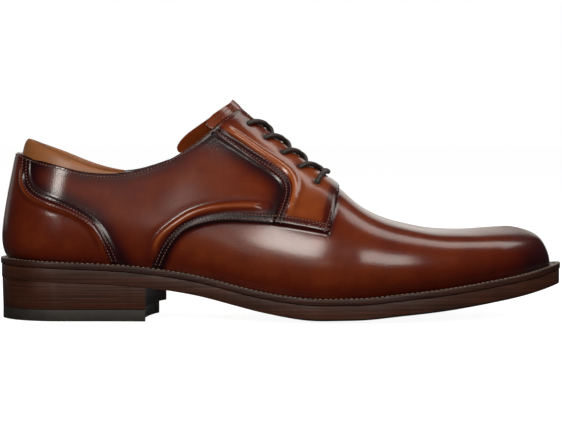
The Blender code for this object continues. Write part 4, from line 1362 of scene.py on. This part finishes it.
def make_sole(finishes):
    """Welt, outsole, stacked heel and top piece, each with softened edges."""
    welt = slab("welt_strip", [welt_faces(OUTER), welt_faces(INNER)], finishes["welt"], WELT_SOFTNESS)
    top = sole_grid(OUTSOLE_INSET, lambda x, out: welt_bottom(x))
    bottom = sole_grid(OUTSOLE_INSET, lambda x, out: underside(x, out))
    outsole = slab("leather_sole", [(top, bottom)], finishes["sole"], SOLE_SOFTNESS)
    top = heel_faces(STACK_INSET, lambda x, out: underside(x, out) - FIT_GAP, 0.0)
    bottom = heel_faces(TOP_PIECE_INSET, lambda x, out: 0 * x + TOP_PIECE_THICKNESS + FIT_GAP, 0.0)
    stack = slab("heel_layers", [(top, bottom)], finishes["stack"], STACK_SOFTNESS)
    top = heel_faces(TOP_PIECE_INSET, lambda x, out: 0 * x + TOP_PIECE_THICKNESS, CORNER_CUT)
    bottom = heel_faces(TOP_PIECE_INSET, lambda x, out: 0 * x, CORNER_CUT)
    lift = slab("heel_rubber_lift", [(top, bottom)], finishes["rubber"], SOLE_SOFTNESS)
    nodes = ("welt", "outsole", "heel_stack", "heel_top_piece")
    for made, node in zip((welt, outsole, stack, lift), nodes):
        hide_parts(node)
        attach(made, "root")


def welt_lines():
    """The line of stitches right round the top of the welt."""
    lines = []
    for side in (OUTER, INNER):
        share = share_of(np.linspace(0, math.pi, 401))
        x, y = plan_point(share, side, WELT_STITCH)
        lines.append(np.stack([x, y, welt_top(x) - 0.00012], axis=-1))
    return lines


def tongue_grids():
    """Faces of the tongue on both sides, and the lines of stitches near its top."""
    over = QUARTER_STEP + OVERLAY_STEP
    slope = math.radians(TONGUE_SLOPE)
    lean = np.array([math.sin(slope), 0.0, -math.cos(slope)])
    top = np.dot(skin_point(angle_at_ridge(0.440), 1.0, OUTER, over), lean) - TONGUE_RISE
    bottom = angle_at_ridge(THROAT_END_SHARE + TONGUE_TUCK / SHOE_LENGTH)
    outer = -WALL - TONGUE_GAP
    across = np.concatenate([[1.0, 0.985, 0.96], np.linspace(0.92, 0, 22)])
    patches, lines = [], {row: [] for row in TONGUE_STITCHES}
    for side in (OUTER, INNER):

        def v_across(angle, width):
            """v at a distance to the side of the tongue's middle line."""
            return np.where(width > 0, v_at_gap(angle, side, width), 1.0)

        def start_at(depth, reach):
            """Angle at a depth below the tongue's top edge, whose corners are rounded."""
            round_share = np.clip((reach - 0.80) / 0.20, 0, 1)
            rounding = TONGUE_CORNER * (1 - np.sqrt(1 - round_share ** 2))

            def past_top(angle):
                """True where the tongue lies past its top edge."""
                v = v_across(angle, reach * TONGUE_HALF_WIDTH)
                return np.dot(skin_point(angle, v, side, outer), lean) > top + depth + rounding

            return solve(np.full_like(reach, 0.9), np.full_like(reach, bottom), past_top)

        start = start_at(0.0, across)
        done = (np.linspace(0, 1, 70) ** 1.15)[:, None]
        angle = start + (bottom - start) * done
        width = across * TONGUE_HALF_WIDTH * (1 - TONGUE_TAPER_SHARE * done)
        v = v_across(angle, width)
        ahead = smooth_step(share_of(angle), *TONGUE_SWELL_ENDS)
        swell = TONGUE_SWELL * ahead * np.clip(1 - (width / TONGUE_SWELL_WIDTH) ** 2, 0, 1) ** 2
        patches.append([skin_point(angle, v, side, outer + swell - k) for k in (0, TONGUE_THICKNESS)])
        for row, found in lines.items():
            reach = np.linspace(0.88 if row < 0.003 else 0.80, 0, 40)
            angle = start_at(row, reach)
            v = v_across(angle, reach * TONGUE_HALF_WIDTH)
            found.append(skin_point(angle, v, side, outer + THREAD_LIFT))
    rows = [np.concatenate([pair[0], pair[1][::-1][1:]]) for pair in lines.values()]
    return patches, rows


def make_tongue(finish, tree, dark_thread):
    """The tongue, its edges rounded and its top sewn twice."""
    patches, rows = tongue_grids()
    for own, other in zip(*patches):
        matched(own[:, -1], other[:, -1])
    made = slab("tongue_leather", patches, finish, TONGUE_SOFTNESS)
    mesh = made.data
    places = np.array([v.co for v in mesh.vertices])
    low, high = places[:, 0].min(), places[:, 0].max()
    share = (places[:, 0] - low) / (high - low)
    below = places[:, 2].max() - places[:, 2]
    shade = 0.20 + 0.16 * np.exp(-(below / 0.012) ** 2) + 0.35 * smooth_step(share, 0.35, 0.9)
    for key in ("shade", "quarter", "facing", "counter", "eyelet"):
        value = shade if key == "shade" else np.full_like(shade, NO_SEAM)
        stored = mesh.attributes.new(key, "FLOAT", "POINT")
        stored.data.foreach_set("value", value.astype(np.float32))
    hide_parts("tongue")
    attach(made, "root")
    seams = sewn("tongue_stitches", rows, tree, {**FINE_STITCH, "Thread": dark_thread, "Seed": 5})
    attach(seams, "root")


def make_collar(finish):
    """The padded roll of lining round the back of the collar, soft and evenly filled."""
    angles = np.linspace(0, float(np.arccos(1 - 2 * PAD_END_SHARE)), 90)
    profile = np.array(PAD_PROFILE)
    for _ in range(3):
        after = np.roll(profile, -1, axis=0)
        cut = [0.75 * profile + 0.25 * after, 0.25 * profile + 0.75 * after]
        profile = np.stack(cut, axis=1).reshape(-1, 2)
    profile = profile[::2]
    rise, depth = profile[:, 0] * PAD_RISE, profile[:, 1] * PAD_THICKNESS
    full = np.clip(1 - (share_of(angles) / PAD_END_SHARE) ** 1.5, 0, 1)[:, None]
    full = PAD_TIP_SHARE + (1 - PAD_TIP_SHARE) * full
    lift = np.where(rise > 0, rise * full, rise)
    sides = []
    for side in (OUTER, INNER):
        spread_angles = np.broadcast_to(angles[:, None], lift.shape)
        edge = last_point(angles, rim(angles, side), side)[:, 2:]
        v = v_at_height(spread_angles, side, lambda x: edge + lift)
        inward = WALL + LINING_GAP + depth * (PAD_TIP_SHARE + (1 - PAD_TIP_SHARE) * full)
        wave = np.sin(spread_angles * 190 + 2 * np.sin(spread_angles * 23))
        gather = PAD_GATHER * wave * (depth > 0.6 * PAD_THICKNESS)
        sides.append(skin_point(spread_angles, v, side, -inward - gather))
    rings = list(sides[0][::-1]) + list(sides[1][1:])
    made = closed_tube("collar_padding", rings, finish)
    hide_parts("collar_pad")
    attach(made, "root")


def lace_stretch(holes, own, row):
    """One stretch of lace: from under the opposite facing, up across the gap and over its own
    facing to a hole. Returns points, half widths and half heights."""
    over = QUARTER_STEP + OVERLAY_STEP + LACE_RADIUS
    under = -WALL - TONGUE_GAP / 2
    ways = (
        (0.00, over + 0.0002), (0.14, over + 0.0003), (0.28, over + 0.0001), (0.38, over - 0.0008),
        (0.50, LACE_CROSSING[own]), (0.62, under + 0.0004), (0.70, under), (1.00, under),
    )
    table = Table(("done", "offset"), ways)
    near_hole, far_hole = holes[own][row], holes[-own][row + 1]
    slant = LACE_SLANT[own]
    middle = ridge_foot(row) * (1 - slant) + ridge_foot(row + 1) * slant
    points, wide, tall = [], [], []
    for done in np.linspace(0.06, 1, 34):
        start, v_start, side = (*near_hole, own) if done < 0.5 else (*far_hole, -own)
        share = abs(1 - 2 * done)
        angle = middle + (start - middle) * share ** 1.25
        v = 1 - (1 - v_start) * share
        points.append(skin_point(angle, v, side, table.read("offset", done)))
        pressed = smooth_step(done, 0.56, 0.70)
        wide.append(LACE_RADIUS * (1 + LACE_SPREAD * pressed))
        tall.append(LACE_RADIUS * (1 - LACE_FLATTENING * pressed))
    return points[::-1], wide[::-1], tall[::-1]


def ridge_foot(row):
    """Angle of the point on the ridge that lies square over an eyelet."""
    x, z = side_view([EYELETS[row]])
    along = np.linspace(x[0] - 0.005, x[0] + 0.025, 400)
    nearest = along[np.argmin((along - x[0]) ** 2 + (ridge_height(along) - z[0]) ** 2)]
    return float(angle_at_ridge(station(nearest)))


def through_hole(hole, side, down):
    """Lace points through an eyelet, from over the facing to under it or back."""
    points = [skin_point(hole[0], hole[1], side, offset) for offset in LACE_IN_EYELET]
    wide = [LACE_RADIUS] * 3 + [LACE_RADIUS * 0.9]
    tall = [LACE_RADIUS * 0.9] * 3 + [LACE_RADIUS * 0.5]
    if down:
        return points, wide, tall
    return points[::-1], wide[::-1], tall[::-1]


def strand(holes, side):
    """Half of the lace, from under the lowest eyelet of one side up to its top eyelet."""
    points, wide, tall = [], [], []
    own = -side
    for row in range(len(EYELETS) - 2, -1, -1):
        for part in (lace_stretch(holes, own, row), through_hole(holes[own][row], own, True)):
            points += part[0]
            wide += part[1]
            tall += part[2]
        own = -own
    return points, wide, tall


def make_laces(finish):
    """One lace: a bar over the lowest holes, and both halves crossing up to the top pair, where
    they end under the facings."""
    holes = {side: list(zip(*locate(EYELETS, side))) for side in (OUTER, INNER)}
    last = len(EYELETS) - 1
    over = QUARTER_STEP + OVERLAY_STEP + LACE_RADIUS
    middle = ridge_foot(last) * 1.2 - ridge_foot(last - 1) * 0.2
    bar = []
    for done in np.linspace(0.05, 0.95, 26):
        side = OUTER if done < 0.5 else INNER
        start, v_start = holes[side][last]
        share = abs(1 - 2 * done)
        angle = middle + (start - middle) * share
        v = 1 - (1 - v_start) * share
        bar.append(skin_point(angle, v, side, over + 0.0004 * math.sin(math.pi * done)))
    size = [LACE_RADIUS] * len(bar)
    left, right = strand(holes, OUTER), strand(holes, INNER)
    up_left = through_hole(holes[OUTER][last], OUTER, False)
    down_right = through_hole(holes[INNER][last], INNER, True)
    parts = ([values[::-1] for values in left], up_left, (bar, size, size), down_right, right)
    points = np.concatenate([np.array(part[0]) for part in parts])
    wide = np.concatenate([part[1] for part in parts])
    tall = np.concatenate([part[2] for part in parts])

    # The joined stretches are smoothed, spaced evenly and smoothed again
    for _ in range(2):
        middle = (points[:-2] + 2 * points[1:-1] + points[2:]) / 4
        points = np.concatenate([points[:1], middle, points[-1:]])
    reach = np.concatenate([[0.0], np.cumsum(np.linalg.norm(np.diff(points, axis=0), axis=1))])
    even = np.arange(0, reach[-1], LACE_STEP)
    points = np.column_stack([np.interp(even, reach, points[:, k]) for k in range(3)])
    wide, tall = np.interp(even, reach, wide), np.interp(even, reach, tall)
    for _ in range(4):
        points[1:-1] = (points[:-2] + 2 * points[1:-1] + points[2:]) / 4

    # Rings square to the cord, flat where it is pressed
    along = unit(np.gradient(points, axis=0))
    forward = np.array(LACE_AHEAD)
    across = unit(forward - along * (along @ forward)[:, None])
    up = unit(np.cross(across, along))
    turns = np.arange(LACE_SIDES) * 2 * math.pi / LACE_SIDES
    rings = points[:, None] + across[:, None] * (wide[:, None] * np.cos(turns))[..., None]
    rings = rings + up[:, None] * (tall[:, None] * np.sin(turns))[..., None]
    values = {
        "around": np.broadcast_to(turns / (2 * math.pi), rings.shape[:2]),
        "along": np.broadcast_to(even[:, None], rings.shape[:2]),
    }
    made = closed_tube("round_lace", rings, finish, values)
    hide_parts("lace_bar", "lace_cross_1", "lace_cross_2", "lace_cross_3", "lace_cross_4")
    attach(made, "root")


def make_studio():
    """A pale floor, soft lights from above and the camera at the photo's angle."""
    mesh = bpy.data.meshes.new("studio_floor")
    mesh.from_pydata([(-6, -6, 0), (6, -6, 0), (6, 6, 0), (-6, 6, 0)], [], [(0, 1, 2, 3)])
    mesh.materials.append(pale_floor())
    floor = bpy.data.objects.new("studio_floor", mesh)
    bpy.context.scene.collection.objects.link(floor)
    floor.visible_glossy = False
    floor.visible_diffuse = False
    for name, place, width, height, glow in LIGHTS:
        lamp = bpy.data.lights.new(name, "AREA")
        lamp.shape = "RECTANGLE"
        lamp.size, lamp.size_y, lamp.energy = width, height, glow * math.pi * width * height
        lamp.color = LAMP_COLOUR
        made = bpy.data.objects.new(name, lamp)
        made.location = place
        made.rotation_euler = (LAMP_TARGET - Vector(place)).to_track_quat("-Z", "Y").to_euler()
        bpy.context.scene.collection.objects.link(made)
    world = bpy.data.worlds.new("studio")
    bpy.context.scene.world = world
    world.use_nodes = True
    tree = world.node_tree
    path = add(tree, "ShaderNodeLightPath").outputs
    glow = {0: path["Is Glossy Ray"], 1: REFLECTED - AMBIENT, 2: AMBIENT}
    strength = add(tree, "ShaderNodeMath", glow, operation="MULTIPLY_ADD")
    glow = {0: path["Is Camera Ray"], 1: 1.0 - AMBIENT, 2: strength}
    strength = add(tree, "ShaderNodeMath", glow, operation="MULTIPLY_ADD")
    tree.links.new(strength.outputs[0], tree.nodes["Background"].inputs["Strength"])
    tree.nodes["Background"].inputs["Color"].default_value = WHITE
    lens = bpy.data.cameras.new("photo_view")
    lens.sensor_width, lens.lens = 36.0, CAMERA_LENS
    lens.clip_start, lens.clip_end = 0.05, 50.0
    camera = bpy.data.objects.new("photo_view", lens)
    camera.location = (0.0, -CAMERA_DISTANCE, CAMERA_HEIGHT)
    camera.rotation_euler = (math.radians(90 - CAMERA_TILT), 0.0, 0.0)
    bpy.context.scene.collection.objects.link(camera)
    bpy.context.scene.camera = camera
    bpy.context.scene.view_settings.view_transform = "Standard"


# Materials
calf = burnished_leather()
tan_lining = lining_leather("tan_lining", "#a56a35", "#8a5226", 0.0013)
# The collar's padding is the same lining leather in darker colours: painted shade
shaded_pad_lining = lining_leather("padded_lining_painted_shade", "#8a5224", "#6b3d17", 0.0012)
dark_thread = thread("dark_thread", "#7d5647", "#4a2b22")
welt_thread = thread("welt_thread", "#8b7a66", "#5c4a3a")
finishes = {
    "welt": layered_edge("welt_edge", "#371a10", "#1c0c07", 0.0010, 0.12),
    "sole": layered_edge("sole_edge", "#3f1e0f", "#221007", 0.0011, 0.15),
    "stack": layered_edge("stacked_leather", "#3d1b09", "#210e05", 0.0008, 0.12),
    "rubber": plain_rubber(),
}

# Pieces, each on the shoe's one body
sides = {side: Side(side) for side in (OUTER, INNER)}
outside, inside = make_skin(sides)
skin = piece("upper_leather", *outside, calf)
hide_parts("upper")
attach(skin, "root")
lining = piece("upper_lining", inside[0], inside[1], {}, tan_lining)
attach(lining, "root")
tree = stitch_tree()
settings = {**FINE_STITCH, "Thread": dark_thread, "Seed": 3}
seams = sewn("upper_stitches", guide_lines(sides), tree, settings)
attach(seams, "root")
make_tongue(calf, tree, dark_thread)
make_collar(shaded_pad_lining)
make_sole(finishes)
settings = {**COARSE_STITCH, "Thread": welt_thread, "Seed": 4}
seams = sewn("welt_stitches", welt_lines(), tree, settings)
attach(seams, "root")
make_laces(waxed_cord())
insole = bpy.data.objects["insole"]
for slot in insole.material_slots:
    slot.material = tan_lining
make_studio()
